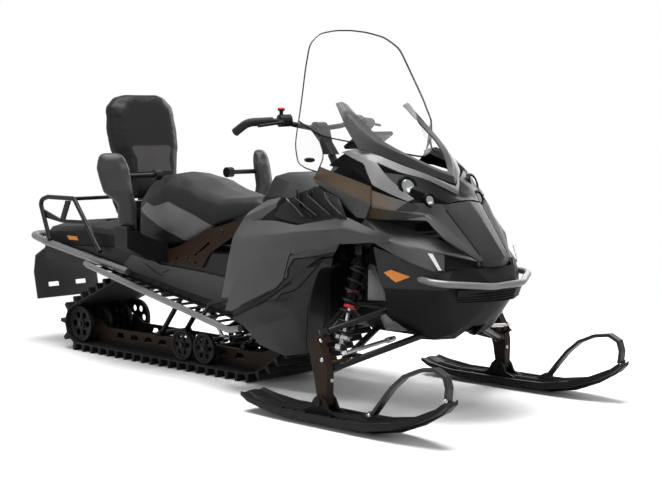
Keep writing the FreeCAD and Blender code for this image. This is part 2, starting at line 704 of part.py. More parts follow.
bx, bz = d.bumper_rear_x, d.bumper_rear_height
fx, fz = d.bumper_front_rail_x, d.bumper_front_rail_height
bend_share = 0.8
bend_x, bend_z = fx + bend_share * (bx - fx), fz + bend_share * (bz - fz)
bumper = tube([(fx, -d.bumper_half, fz), (bend_x, -d.bumper_half, bend_z), (bx, -d.bumper_tail_half, bz),
               (bx, d.bumper_tail_half, bz), (bend_x, d.bumper_half, bend_z), (fx, d.bumper_half, fz)],
              d.bumper_tube_radius, 55)
keep("rear_bumper", bumper)
flap = new_body("snow_flap")
pad(flap, outline(flap, "XZ_Plane", [
    ("tunnel_rear_x - seat_gap", "tunnel_top_rear"), ("flap_bend_x + 16", "tunnel_top_rear - 65"),
    ("flap_bend_x", "flap_bend_height"), ("flap_bend_x + 28", "flap_low"), ("flap_bend_x + 28 + flap_sheet", "flap_low"),
    ("flap_bend_x + flap_sheet", "flap_bend_height"), ("flap_bend_x + 16 + flap_sheet", "tunnel_top_rear - 67"),
    ("tunnel_rear_x - seat_gap", "tunnel_top_rear - 1.5 * flap_sheet"),
]), "2 * flap_half")
doc.recompute()
slot = outline(flap, "YZ_Plane", [
    ("-0.6 * flap_half", "flap_low + 54"), ("-0.27 * flap_half", "flap_low + 54"),
    ("-0.27 * flap_half", "flap_low + 76"), ("-0.6 * flap_half", "flap_low + 76"),
], "tunnel_rear_x")
row_of(flap, pocket(flap, slot, "400"), "Y_Axis", "0.87 * flap_half", 2)
keep_object(flap, "snow_flap")


def deck_section(x, half, high, crown):
    """A section of the luggage deck over the tunnel's roof: rounded shoulders and a crowned top."""
    slope = "(tunnel_top_front - tunnel_top_rear) / (tunnel_front_x - tunnel_rear_x)"
    low = f"tunnel_top_rear + max(0; {x} - tunnel_rear_x) * {slope} + seat_gap"
    right_side = [(half, high - 22), (half - 22, high), (half / 3, high + crown)]
    return str(x), [(-half, low), *[(-y, z) for y, z in right_side], *reversed(right_side), (half, low)]


deck = new_body("cargo_deck")
lofted(deck, "YZ_Plane", [deck_section(*numbers) for numbers in (
    (-1396, 170, 556, 10), (-1330, 196, 590, 22), (-1050, 206, 606, 30), (-800, 200, 600, 26), (-735, 170, 590, 10))])
doc.recompute()
groove = outline(deck, "XY_Plane", [(-1290, -125), (-1264, -125), (-1264, 125), (-1290, 125)], "634")
row_of(deck, pocket(deck, groove, "12"), "X_Axis", "360", 5)
keep_object(deck, "cargo_deck")
doc.recompute()
racks, gussets = [], []
for side in (-1, 1):
    y = side * d.rack_half
    r = d.rack_tube_radius
    t = d.rack_top_height
    racks.append(tube([(-1262, y + side * 18, 532), (-1366, y, t - 20), (-1300, y, t), (-1085, y, t), (-862, y + side * 17, 500)], r, 26))
    web = [(-1348, t - 58), (-1190, t - 104), (-1010, t - 100), (-1004, t - 116), (-1180, t - 120), (-1330, t - 100)]
    prong = [(-1196, t - 104), (-1150, t - 12), (-1112, t - 12), (-1160, t - 104)]
    gusset = slab_y(web, y - 4, y + 4).fuse(slab_y(prong, y - 4, y + 4)).removeSplitter()
    gussets.append(gusset.cut(racks[-1]))
cross = rod((-1085, -d.rack_half + d.rack_tube_radius, d.rack_top_height - 1),
            (-1085, d.rack_half - d.rack_tube_radius, d.rack_top_height - 1), d.rack_tube_radius - 2)
keep("cargo_rack", fuse([*racks, cross, *gussets]))

# seat, backrest and the passenger's guards

def cushion_ring(x, half, low, high, round_top):
    """A rounded cross-section of the seat."""
    return [(x, -half + 12, low), (x, -half, low + 18), (x, -half, high - 1.9 * round_top),
            (x, -half + 0.3 * round_top, high - 0.8 * round_top), (x, -half + round_top, high - 0.2 * round_top),
            (x, 0, high), (x, half - round_top, high - 0.2 * round_top),
            (x, half - 0.3 * round_top, high - 0.8 * round_top), (x, half, high - 1.9 * round_top),
            (x, half, low + 18), (x, half - 12, low)]


seat = loft([cushion_ring(x, d.seat_half - thin, max(low, tunnel_top(x) + 0.3), high, soft) for x, thin, low, high, soft in (
    (-692, 46, 590, 690, 26), (-672, 18, 545, 786, 46), (-590, 4, 530, 862, 62), (-467, 0, 530, 877, 66),
    (-330, 0, 552, 850, 62), (-243, 0, 596, 812, 50), (-120, 2, 650, 778, 34), (9, 18, 684, 785, 28),
    (100, 40, 706, 792, 24), (138, 66, 722, 766, 12))])
keep("seat", seat)


def backrest_ring(z, half, thick, lean):
    x = d.backrest_x + 62 - (z - d.backrest_low) * lean
    return [(x - thick, -half * 0.75, z), (x - thick * 0.8, -half, z), (x - thick * 0.25, -half, z), (x, -half * 0.72, z),
            (x, half * 0.72, z), (x - thick * 0.25, half, z), (x - thick * 0.8, half, z), (x - thick, half * 0.75, z)]


backrest = loft([backrest_ring(z, half, thick, 0.2) for z, half, thick in (
    (d.backrest_low, 150, 90), (870, 176, d.backrest_thick), (990, 205, d.backrest_thick),
    (1075, d.backrest_half, d.backrest_thick), (1180, 196, 96), (d.backrest_top - 16, 150, 84), (d.backrest_top, 96, 60))])
keep("backrest", backrest)
post = fuse([Part.makeBox(60, 240, 150, Vector(-800, -120, 586)), Part.makeBox(100, 300, 40, Vector(-826, -150, 660))])
post = post.cut(Part.makeCompound([backrest, deck.Shape, tunnel.Shape, seat]))


def turned_ring(x, y, z, wide, thick, turn):
    """A flattened octagon about (x, y), its broad face turned outwards by turn degrees."""
    a = math.radians(turn)
    out = []
    for u, v in ((-1, -0.5), (-0.75, -1), (0.75, -1), (1, -0.5), (1, 0.5), (0.75, 1), (-0.75, 1), (-1, 0.5)):
        px, py = v * thick / 2, u * wide / 2
        out.append((x + px * math.cos(a) - py * math.sin(a), y + px * math.sin(a) + py * math.cos(a), z))
    return out


guards, brackets, grip_bars, knobs = [], [], [], []
for side in (-1, 1):
    y = side * d.guard_y
    turn = side * 40
    guard = loft([
        turned_ring(d.guard_x + 40, side * 400, 646.3, 84, 66, turn), turned_ring(d.guard_x + 44, side * 404, 740, 96, 72, turn),
        turned_ring(d.guard_x + 30, y - side * 6, 800, 142, 74, turn), turned_ring(d.guard_x, y, 905, 150, 72, turn),
        turned_ring(d.guard_x - 12, y, d.guard_top - 14, 112, 62, turn), turned_ring(d.guard_x - 16, y, d.guard_top, 70, 40, turn),
    ])
    guards.append(guard)
    bracket = loft([
        [(-560, side * (outer_half + 0.3), 508), (-395, side * (outer_half + 0.3), 478),
         (-395, side * (outer_half + 0.3), 560), (-560, side * (outer_half + 0.3), 585)],
        [(-530, side * 330, 520), (-395, side * 330, 500), (-395, side * 330, 604), (-530, side * 330, 612)],
        [(-490, side * 440, 560), (-400, side * 440, 560), (-400, side * 440, 646), (-490, side * 440, 646)],
    ])
    bracket = bracket.cut(Part.makeBox(70, 60, 300, Vector(-500, min(side * 262, side * 322), 400)))
    brackets.append(main_solid(bracket.cut(Part.makeCompound([guard, seat, seat_plates.Shape, *covers]))))
    bar = rod((d.grip_bar_x, side * (d.seat_half + 44), d.grip_bar_height),
              (d.grip_bar_x, side * (d.guard_y - 10), d.grip_bar_height), d.grip_bar_radius)
    grip_bars.append(bar.cut(guard).Solids[0])
    knob = rod((d.grip_bar_x, side * (d.seat_half + 10), d.grip_bar_height),
               (d.grip_bar_x, side * (d.seat_half + 44), d.grip_bar_height), 24)
    knobs.append(knob)
keep("hand_guards", Part.makeCompound(guards))
grips_made = [bar.fuse(knob).removeSplitter() for bar, knob in zip(grip_bars, knobs)]
keep("passenger_brackets", Part.makeCompound([post, *brackets, *grips_made]))

# front frame: side plates that carry the arms, a cross bar for the shocks and the engine between

frame_out, frame_in = d.frame_half, d.frame_half - d.frame_sheet
frame_plate = new_body("frame_plate")
pad(frame_plate, outline(frame_plate, "XZ_Plane", [
    ("frame_front_x - 314", "frame_low"), ("frame_front_x - 22", "frame_low"), ("frame_front_x", "frame_low + 48"),
    ("frame_front_x - 52", "frame_low + 178"), ("frame_front_x - 122", "frame_top"),
    ("frame_front_x - 292", "frame_top"), ("tunnel_front_x + tunnel_sheet + seat_gap", 480),
    ("tunnel_front_x + tunnel_sheet + seat_gap", 400),
], "-frame_half"), "frame_sheet", "One side")
doc.recompute()
pocket(frame_plate, circles(frame_plate, "XZ_Plane", [
    ("frame_front_x - 32", "frame_low + 58", "frame_hole"), ("frame_front_x - 182", "frame_low + 178", "1.6 * frame_hole"),
    ("frame_front_x - 212", "frame_top - 65", "frame_hole")]))
frame_floor = box("frame_floor", "292", "2 * (frame_half - frame_sheet)", "frame_sheet",
                  ("frame_front_x - 314", "frame_sheet - frame_half", "frame_low"))
frame_roof = box("frame_roof", "170", "2 * (frame_half - frame_sheet)", "frame_sheet",
                 ("frame_front_x - 292", "frame_sheet - frame_half", "frame_top - frame_sheet"))
tower = cross_cylinder("shock_tower", "tower_radius", "2 * (shock_top_y + 30)",
                       ("kingpin_top_x - 13", "-shock_top_y - 30", "shock_top_height + tower_rise"))
ear = box("shock_ear", "34", "8", "tower_rise + 24", ("kingpin_top_x - 30", "shock_top_y + 19.3", "shock_top_height - 14"))
joined("MultiFuse", "front_frame", [frame_plate, mirrored(frame_plate), frame_floor, frame_roof, tower, ear, mirrored(ear)])
keep_object(box("engine", "250", "2 * (frame_half - frame_sheet - engine_side_gap)",
                "min(frame_top - 2 * frame_sheet - 18; shock_top_height + tower_rise - tower_radius - 9) - frame_low",
                ("tunnel_front_x + 20", "engine_side_gap + frame_sheet - frame_half", "frame_low + frame_sheet + seat_gap")),
            "engine")
doc.recompute()

# kingpins: each spindle turns on two balls, and its axis leans back

low_ball = Vector(d.kingpin_low_x, 495, d.kingpin_low_height)
high_ball = Vector(d.kingpin_top_x, 495, d.kingpin_top_height)
kingpin = (high_ball - low_ball).normalize()
socket_radius, socket_half = 20, 13


def socket(ball):
    """An arm's end: a ring about the kingpin."""
    return Part.makeCylinder(socket_radius, 2 * socket_half, ball - kingpin * socket_half, kingpin)


def socket_room(ball, stud):
    """The hollow for a ball and its stud."""
    hollow = Part.makeSphere(d.ball_radius + 0.3, ball)
    return hollow.fuse(Part.makeCylinder(11, 40, ball, stud))


def arm(ball, stud, inner_y, inner_z, front_x, rear_x, radius, brace_share):
    """An A-arm: two tubes from its socket to two bushes beside the front frame."""
    tubes = [socket(ball)]
    for x in (front_x, rear_x):
        inner = Vector(x, inner_y, inner_z)
        tubes.append(rod(ball, inner, radius))
        tubes.append(Part.makeCylinder(16, 44, inner - Vector(22, 0, 0), Vector(1, 0, 0)))
    brace_front = ball + (Vector(front_x, inner_y, inner_z) - ball) * brace_share
    brace_rear = ball + (Vector(rear_x, inner_y, inner_z) - ball) * brace_share
    tubes.append(rod(brace_front, brace_rear, radius - 3))
    made = tubes[0].multiFuse(tubes[1:])
    return made.cut(socket_room(ball, stud)).removeSplitter()


bush_y = frame_out + 16.3
lower_arm = arm(low_ball, kingpin, bush_y, d.lower_arm_inner_height, d.lower_arm_front_x,
                d.lower_arm_rear_x, d.arm_tube_radius, 0.3)
upper_arm = arm(high_ball, -kingpin, bush_y, d.upper_arm_inner_height, d.upper_arm_front_x,
                d.upper_arm_rear_x, d.arm_tube_radius - 2, 0.75)
shock_low = Vector(d.kingpin_top_x - 9, d.shock_low_y, d.shock_low_height)
shock_top = Vector(d.kingpin_top_x - 13, d.shock_top_y, d.shock_top_height)
rear_tube_at = low_ball + (Vector(d.lower_arm_rear_x, bush_y, d.lower_arm_inner_height) - low_ball) * 0.27
shock_seat = fuse([rod(rear_tube_at, shock_low + Vector(22, 0, -4), 9),
                   Part.makeCylinder(13, 12, shock_low + Vector(13.3, 0, 0), Vector(1, 0, 0))])
lower_arm = lower_arm.fuse(shock_seat).removeSplitter()
keep("lower_arms", both(lower_arm))
keep("upper_arms", both(upper_arm))


def front_damper():
    """The shock: eye, rod, adjuster, body and top eye."""
    along = (shock_top - shock_low).normalize()
    length = (shock_top - shock_low).Length
    pieces = [
        Part.makeCylinder(15, 26, shock_low - Vector(13, 0, 0), Vector(1, 0, 0)),
        Part.makeCylinder(d.shock_rod_radius, 0.5 * length, shock_low + along * 8, along),
        Part.makeCylinder(28, 12, shock_low + along * 30, along),
        Part.makeCylinder(d.shock_body_radius, 0.47 * length, shock_low + along * (0.42 * length), along),
        Part.makeCylinder(11, 0.15 * length, shock_low + along * (0.84 * length), along),
        Part.makeCylinder(34, 14, shock_low + along * (length - 66), along),
        Part.makeCylinder(15, 38, shock_top - Vector(0, 19, 0), Vector(0, 1, 0)),
    ]
    return pieces[0].multiFuse(pieces[1:]).removeSplitter()


keep("front_shocks", both(front_damper()))


def closed_tube(path, radius, sides):
    """A faceted wire along a path of points, closed at both ends."""
    rings = []
    for i, here in enumerate(path):
        along = (path[min(i + 1, len(path) - 1)] - path[max(i - 1, 0)]).normalize()
        across_one = along.cross(Vector(0, 0, 1)).normalize()
        across_two = along.cross(across_one).normalize()
        rings.append([here + across_one * (radius * math.cos(2 * math.pi * k / sides))
                      + across_two * (radius * math.sin(2 * math.pi * k / sides)) for k in range(sides)])
    faces = []
    for one, two in zip(rings, rings[1:]):
        for k in range(sides):
            m = (k + 1) % sides
            faces += [triangle(one[k], two[k], two[m]), triangle(one[k], two[m], one[m])]
    for ring in (rings[0], rings[-1]):
        faces.append(Part.Face(Part.makePolygon([*ring, ring[0]])))
    shell = Part.makeShell(faces)
    shell.sewShape()
    made = Part.makeSolid(Part.Shell(shell.Faces))
    if made.Volume < 0:
        made.reverse()
    return made


def coil():
    """A round-wire spring between the shock's two collars, its end turns flat."""
    along = (shock_top - shock_low).normalize()
    side_one = along.cross(Vector(1, 0, 0)).normalize()
    side_two = along.cross(side_one).normalize()
    length = (shock_top - shock_low).Length
    start, end = 42 + 0.3 + d.spring_wire, length - 66 - 0.3 - d.spring_wire
    steps = 12
    turns = int(d.spring_turns)
    path = []
    for i in range(steps * turns + 1):
        share = min(max((i / steps - 0.75) / (turns - 1.5), 0), 1)
        a = 2 * math.pi * i / steps
        out = d.spring_radius - d.spring_wire
        path.append(shock_low + along * (start + (end - start) * share) + side_one * (out * math.cos(a)) + side_two * (out * math.sin(a)))
    return closed_tube(path, d.spring_wire, 6)


keep("front_springs", both(coil()))

# spindles: a plate outside each kingpin with a boss for the ski's bolt, two lugs and a steering arm

ski_y = d.ski_stance / 2
plate_in = ski_y - d.spindle_thick / 2 + 2
pin = Vector(d.ski_pin_x, ski_y, d.ski_pin_height)
boss_half = d.ski_saddle_gap / 2 - 1
spindle_outline = [(860, 118), (876, 62), (898, 62), (914, 90), (916, 190), (905, 250), (880, 290), (866, 322),
                   (834, 322), (820, 285), (836, 215), (852, 165)]
spindle = slab_y(spindle_outline, plate_in, plate_in + d.spindle_thick)
spindle = spindle.fuse(rod((pin.x, ski_y - boss_half, pin.z), (pin.x, ski_y + boss_half, pin.z), 26))
for ball, way in ((low_ball, kingpin), (high_ball, -kingpin)):
    lug = ball + way * 31
    spindle = spindle.multiFuse([
        Part.makeSphere(d.ball_radius, ball),
        Part.makeCylinder(8, 34, ball, way),
        Part.makeCylinder(15, 18, ball + way * 21, way),
        rod(lug, lug + Vector(0, plate_in - 495 + 4, 0), 12),
    ])
tie_ball = Vector(945, 495, 262)
arm_low = tie_ball - kingpin * 23
spindle = spindle.multiFuse([
    Part.makeCylinder(11, 8, arm_low - kingpin * 4, kingpin),
    Part.makeCylinder(6, 36, arm_low, kingpin),
    rod(arm_low, Vector(896, plate_in + 8, 222), 8),
])
spindle = spindle.cut(rod((pin.x, 400, pin.z), (pin.x, 600, pin.z), d.ski_pin_radius + 0.05)).removeSplitter()
for name, shape in (("spindle_left", spindle), ("spindle_right", mirror(spindle))):
    keep(name, shape)

# tie rods: a ring on the steering arm's stud and a bright rod towards the middle

tie_inner = Vector(925, 200, 282)
ring = Part.makeCylinder(13, 15, tie_ball - kingpin * 7.5, kingpin)
shaft = rod(tie_ball, tie_inner, d.tie_rod_radius)
nut = rod(tie_ball + (tie_inner - tie_ball) * 0.86, tie_ball + (tie_inner - tie_ball) * 0.95, 12)
end_ball = Part.makeSphere(11, tie_inner)
tie_rod = ring.multiFuse([shaft, nut, end_ball]).cut(Part.makeCylinder(6.05, 60, tie_ball - kingpin * 30, kingpin))
tie_rod = tie_rod.removeSplitter()
keep("tie_rod_left", tie_rod)
keep("tie_rod_right", mirror(tie_rod))

# skis: a keeled runner with raised edges, ears for the spindle, cross ribs and a grab loop


def ski_ring(x, half, low, keel, rim, spine):
    """A ski's cross-section, keel and raised edges included."""
    top = low + d.ski_base
    right = [(0.12, low - keel), (0.2, low), (0.9, low), (1.0, low + 3), (1.0, top + rim), (0.85, top + rim),
             (0.76, top), (0.4, top), (0.31, top + spine)]
    left = [(-share, z) for share, z in reversed(right)]
    return [(x, ski_y + share * half, z) for share, z in right + left]


half = d.ski_width / 2
keel = d.ski_keel_depth
ski = loft([ski_ring(x, w, low, k, rim, spine) for x, w, low, k, rim, spine in (
    (d.ski_tail_x + 60, half - 20, 58, 4, 4, 3), (d.ski_tail_x + 110, half - 10, 40, 6, 8, 6),
    (d.ski_tail_x + 230, half - 4, keel + 4, keel, 14, 12), (760, half, keel, keel, 18, 18), (1010, half, keel, keel, 18, 18),
    (1150, half, keel + 4, keel, 18, 16), (1270, half - 6, keel + 26, keel, 16, 12), (1370, half - 20, keel + 62, keel - 4, 14, 10),
    (1450, half - 38, keel + 102, 6, 10, 8), (d.ski_tip_x - 7, half - 62 + 16, keel + 132, 3, 6, 5))])
top = keel + d.ski_base + 18
for i in range(7):
    x = 690 + 64 * i + (60 if i > 2 else 0)
    for side in (-1, 1):
        ski = ski.fuse(Part.makeBox(8, half - 32, 14, Vector(x, ski_y + (24 if side > 0 else -half + 8), keel + d.ski_base - 2)))
for side in (-1, 1):
    ear_y = ski_y + side * (d.ski_saddle_gap / 2)
    y0, y1 = sorted((ear_y, ear_y + side * 10))
    ear = slab_y([(800, top - 4), (980, top - 4), (930, top + 14), (914, 92), (898, 106), (874, 106), (858, 92), (840, top + 14)], y0, y1)
    ski = ski.fuse(ear)
ski = ski.cut(Part.makeCylinder(31, 2 * boss_half + 2, Vector(pin.x, ski_y - boss_half - 1, pin.z), Vector(0, 1, 0)))
ski = ski.fuse(rod((pin.x, ski_y - boss_half - 14, pin.z), (pin.x, ski_y + boss_half + 14, pin.z), d.ski_pin_radius))
for side in (-1, 1):
    ski = ski.fuse(rod((pin.x, ski_y + side * (boss_half + 11), pin.z), (pin.x, ski_y + side * (boss_half + 19), pin.z), 13))
ski = ski.removeSplitter()
keep("ski_left", ski)
keep("ski_right", mirror(ski))


def band(points, thick):
    """A flat strip of even thickness along side-view points, with mitred corners."""
    left, right = [], []
    for i, (x, z) in enumerate(points):
        before = points[i - 1] if i else None
        after = points[i + 1] if i + 1 < len(points) else None
        ways = []
        for a, b in ((before, (x, z)), ((x, z), after)):
            if a and b:
                size = math.dist(a, b)
                ways.append(((b[0] - a[0]) / size, (b[1] - a[1]) / size))
        wx, wz = sum(w[0] for w in ways), sum(w[1] for w in ways)
        size = math.hypot(wx, wz)
        nx, nz = -wz / size, wx / size
        reach = thick / 2 / (nx * -ways[0][1] + nz * ways[0][0])
        left.append((x + nx * reach, z + nz * reach))
        right.append((x - nx * reach, z - nz * reach))
    return [*left, *reversed(right)]


loop_line = [(1128, 66), (1170, 118), (1222, 178), (1280, 226), (1350, 256), (1420, 266), (1462, 246), (1474, 208), (1468, 160)]
loop = slab_y(band(loop_line, d.ski_loop_strap), ski_y - d.ski_loop_width / 2, ski_y + d.ski_loop_width / 2)
foot = slab_y([(1085, top - 4), (1140, top + 2), (1138, 70), (1120, 80), (1085, 60)], ski_y - 17, ski_y + 17)
loop = loop.fuse(foot).cut(ski).removeSplitter()
keep("ski_loop_left", main_solid(loop))
keep("ski_loop_right", mirror(main_solid(loop)))

# body panels: thin mouldings over feature lines given for the right side and mirrored across


def right(*pts):
    """Points given as (x, distance from the middle, z), on the right side."""
    return [(x, -y, z) for x, y, z in pts]


def across(*pts):
    """A line over the whole width: right side from the outside in, the middle, then the left."""
    line = right(*pts)
    return line + [(x, -y, z) for x, y, z in reversed(line) if abs(y) > 0.01]


wall = d.panel_wall
hood = moulding([
    across((880, 316, 747), (916, 314, 786), (874, 277, 846), (935, 150, 780), (990, 0, 780)),
    across((976, 290, 745), (1000, 280, 776), (1016, 234, 804), (1040, 130, 772), (1062, 0, 782)),
    across((1085, 200, 741), (1080, 188, 757), (1070, 164, 764), (1106, 90, 792), (1122, 0, 803)),
    across((1158, 186, 673), (1160, 156, 682), (1160, 124, 686), (1178, 64, 722), (1190, 0, 736)),
    across((1243, 98, 588), (1249, 90, 592), (1254, 80, 596), (1276, 44, 606), (1291, 0, 608)),
    across((1236, 98, 574), (1240, 90, 573), (1244, 80, 572), (1262, 44, 572), (1272, 0, 572)),
], wall)
fender = moulding([
    right((887, 320, 742), (939, 250, 726), (1018, 200, 700), (1127, 165, 665), (1242, 95, 589)),
    right((871, 330, 715), (978, 316, 669), (1039, 280, 652), (1129, 220, 630), (1251, 105, 591)),
    right((915, 322, 666), (1008, 316, 627), (1084, 290, 588), (1168, 250, 559), (1251, 108, 565)),
], wall)
hull = moulding([
    across((934, 322, 642), (1041, 300, 611), (1152, 250, 578), (1252, 112, 566), (1262, 0, 566)),
    across((965, 320, 518), (1084, 290, 520), (1194, 225, 520), (1282, 80, 520), (1288, 0, 520)),
    across((979, 310, 486), (1088, 280, 487), (1198, 215, 477), (1284, 78, 480), (1290, 0, 480)),
    across((952, 264, 385), (1054, 236, 376), (1180, 186, 418), (1262, 72, 440), (1268, 0, 440)),
    across((1000, 236, 345), (1078, 150, 293), (1142, 122, 318), (1210, 66, 380), (1222, 0, 380)),
    across((1010, 140, 287), (1050, 100, 284), (1110, 60, 290), (1180, 40, 345), (1190, 0, 345)),
], wall)
bezel = fuse([
    moulding([
        right((694, 247, 990), (812, 252, 950), (880, 274, 872), (925, 266, 850), (1020, 231, 812)),
        right((725, 243, 998), (842, 246, 962), (898, 262, 896), (940, 254, 872), (1028, 222, 818)),
        right((748, 236, 1002), (868, 238, 956), (912, 250, 920), (952, 244, 884), (1036, 213, 822)),
    ], wall),
    moulding([
        right((748, 236, 1002), (868, 238, 956), (940, 180, 916), (992, 110, 894), (1056, 32, 850), (1074, 0, 824)),
        right((775, 230, 1004), (862, 212, 978), (928, 160, 944), (992, 100, 912), (1058, 30, 866), (1074, 0, 846)),
        right((796, 222, 998), (872, 194, 968), (930, 150, 938), (985, 96, 906), (1050, 26, 872), (1064, 0, 862)),
    ], wall),
])
bezel = both(bezel)
visor = moulding([
    across((905, 240, 912), (962, 160, 902), (1004, 90, 880), (1046, 30, 846), (1056, 0, 836)),
    across((950, 240, 872), (1012, 180, 852), (1058, 110, 832), (1082, 40, 818), (1088, 0, 812)),
    across((1022, 222, 806), (1064, 156, 776), (1100, 90, 798), (1112, 40, 806), (1116, 0, 806)),
], wall)
shield_frame = moulding([
    across((640, 222, 1180), (712, 240, 1084), (782, 246, 1006), (868, 196, 974), (926, 152, 948), (980, 102, 914), (1046, 28, 882), (1060, 0, 872)),
    across((648, 196, 1186), (736, 208, 1102), (818, 202, 1034), (894, 158, 996), (946, 114, 966), (992, 70, 932), (1040, 20, 906), (1052, 0, 900)),
    across((650, 168, 1176), (748, 166, 1096), (830, 158, 1034), (894, 122, 994), (944, 84, 964), (984, 46, 938), (1012, 16, 922), (1020, 0, 918)),
], wall)
windshield = moulding([
    across((540, 266, 1410), (522, 190, 1454), (514, 90, 1470), (513, 0, 1474)),
    across((562, 312, 1312), (580, 214, 1330), (596, 106, 1338), (602, 0, 1340)),
    across((590, 358, 1204), (640, 240, 1206), (678, 120, 1206), (692, 0, 1206)),
    across((607, 394, 1110), (694, 250, 1092), (760, 125, 1080), (782, 0, 1076)),
    across((664, 330, 1052), (744, 226, 1026), (850, 110, 990), (900, 0, 968)),
], d.glass_thick)
deflectors = moulding([
    right((606, 394, 1110), (635, 362, 1081), (664, 330, 1051)),
    right((590, 396, 1020), (618, 356, 1000), (650, 300, 970)),
    right((588, 380, 950), (592, 340, 928), (612, 296, 914)),
], d.glass_thick)
upper_panel = moulding([
    right((589, 255, 928), (680, 262, 906), (780, 269, 884), (878, 277, 861)),
    right((600, 302, 888), (700, 314, 862), (822, 326, 826), (918, 322, 796)),
    right((608, 298, 872), (744, 320, 819), (862, 336, 750), (900, 330, 746)),
], wall)
window = moulding([
    right((645, 262, 938), (697, 247, 976), (712, 244, 984), (820, 252, 944)),
    right((660, 264, 934), (730, 262, 930), (800, 266, 914), (874, 275, 874)),
], d.glass_thick)


def tucked(line):
    """A line moved half a wall outwards and up, into the wall of the panel that ends there."""
    return [(x, y + wall / 2, z + wall / 2) for x, y, z in line]


SIDE_STEP = [(315, 402, 547), (433, 425, 558), (515, 428, 564), (593, 425, 593), (739, 405, 635),
             (818, 385, 650), (932, 352, 662), (995, 310, 663)]
SIDE_LOW = [(212, 418, 345), (262, 423, 346), (330, 428, 374), (404, 430, 405)]
BELLY_EDGE = [(230, 398, 321), (330, 401, 361), (440, 401, 409), (559, 395, 490), (602, 388, 551),
              (663, 378, 570), (704, 368, 596), (752, 352, 601)]
BELLY_KEEL = [(321, 398, 277), (453, 402, 309), (587, 390, 363), (628, 362, 395), (648, 352, 479),
              (669, 347, 536), (684, 342, 550), (728, 334, 560)]
upper_side = moulding([
    right((300, 333, 706), (424, 350, 715), (500, 362, 708), (579, 372, 703), (702, 374, 725), (831, 366, 750),
          (958, 335, 702), (1009, 306, 688)),
    right((296, 386, 640), (440, 402, 660), (520, 405, 670), (615, 408, 685), (732, 405, 696), (846, 392, 709),
          (950, 352, 686), (999, 312, 672)),
    right(*SIDE_STEP),
], wall)
lower_side = moulding([
    right(*tucked(SIDE_STEP[:4])),
    right((262, 412, 466), (420, 430, 467), (500, 432, 470), (552, 430, 476)),
    right(*SIDE_LOW),
], wall)
side_step = moulding([
    right(*tucked([*SIDE_LOW[1:], (480, 431, 440), (552, 430, 476), *SIDE_STEP[3:6]])),
    right(*BELLY_EDGE),
], wall)
belly = moulding([
    right(*[(x, y, z - 1.4 * wall) for x, y, z in BELLY_EDGE]),
    right((260, 398, 304), (400, 400, 338), (540, 394, 400), (594, 376, 442), (625, 368, 520), (656, 360, 553),
          (690, 352, 572), (740, 344, 580)),
    right(*BELLY_KEEL),
], wall)
keel_side = moulding([
    right(*tucked(BELLY_KEEL[:4])),
    right((384, 392, 222), (470, 386, 203), (519, 380, 190), (601, 350, 205)),
], wall)
well = moulding([
    right((598, 353, 205), *[(x - wall / 2, y + wall / 2, z) for x, y, z in BELLY_KEEL[3:]]),
    right((582, 252, 215), (608, 256, 400), (628, 254, 480), (644, 252, 530), (660, 251, 545), (700, 250, 562)),
], wall)
side_panel = Part.makeCompound([fuse([upper_side, lower_side, side_step]), fuse([belly, keel_side, well])])
knee_strip = moulding([
    right((404, 292, 806), (330, 296, 792), (244, 316, 742), (200, 326, 640), (178, 346, 520), (156, 374, 390)),
    right((406, 316, 786), (340, 320, 764), (245, 343.2, 722), (214, 381, 640), (194, 391, 540), (161, 397, 390)),
    right((408, 322, 768), (352, 326, 736), (311, 329, 702), (307, 380.8, 639), (326, 397, 548), (247, 409, 400)),
], wall)
vent_base = moulding([
    right((425, 312, 772), (523, 306, 824), (625, 312, 856), (766, 330, 816)),
    right((418, 336, 732), (518, 350, 713), (640, 360, 709), (843, 374, 745)),
], wall)
blades = []
for x in (560, 644, 728):
    blades.append(moulding([
        right((x - 66, 300, 838), (x - 34, 316, 776), (x + 44, 344, 737)),
        right((x - 30, 326, 842), (x + 4, 344, 772), (x + 96, 372, 742)),
    ], 5))
vents = fuse([vent_base, *blades])
keep("hood", hood)
keep("front_fenders", both(fender))
keep("front_hull", hull)
keep("lamp_bezel", bezel)
keep("lamp_visor", visor)
keep("windshield_frame", shield_frame)
keep("windshield", windshield)
keep("deflectors", both(deflectors))
keep("upper_panels", both(upper_panel))
keep("quarter_windows", both(window))
keep("side_panels", both(side_panel))
keep("knee_strips", both(knee_strip))
keep("side_vents", both(vents))

# lamps: two projector lenses on each side of the visor, side lamps, white strips, the grille


def facing(x, y, z, radius, length, yaw, pitch=0):
    """A short cylinder that faces forwards, turned out by yaw and up by pitch degrees."""
    a, b = math.radians(yaw), math.radians(pitch)
    return Part.makeCylinder(radius, length, Vector(x, y, z), Vector(math.cos(a) * math.cos(b), math.sin(a) * math.cos(b), math.sin(b)))


lenses = []
for side in (-1, 1):
    lenses.append(facing(960, side * 190, 870, 30, 36, side * 22).cut(visor))
    lenses.append(facing(1030, side * 128, 822, 24, 34, side * 14).cut(visor))
lenses = [main_solid(lens) for lens in lenses]
side_lamp = moulding([
    right((985, 319, 551), (1013, 316, 562), (1086, 294.5, 541)),
    right((985, 319, 548), (1031, 307.5, 516), (1086, 294.5, 538)),
], 4)
strip = moulding([
    right((1144, 261, 628), (1180, 243, 566)),
    right((1158, 250, 626), (1188, 234, 566)),
    ], 4)
grille_frame = moulding([
    across((1234, 196, 490), (1290, 70, 490), (1296, 0, 490)),
    across((1222, 188, 452), (1280, 72, 446), (1286, 0, 446)),
], 6)
slats = [moulding([across((1236 - k, 188, 486 - 10 * k / 3), (1298 - k, 70, 486 - 10 * k / 3), (1304 - k, 0, 486 - 10 * k / 3)),
                   across((1240 - k, 188, 482 - 10 * k / 3), (1302 - k, 70, 482 - 10 * k / 3), (1308 - k, 0, 482 - 10 * k / 3))], 4)
         for k in (0, 3, 6, 9, 12)]
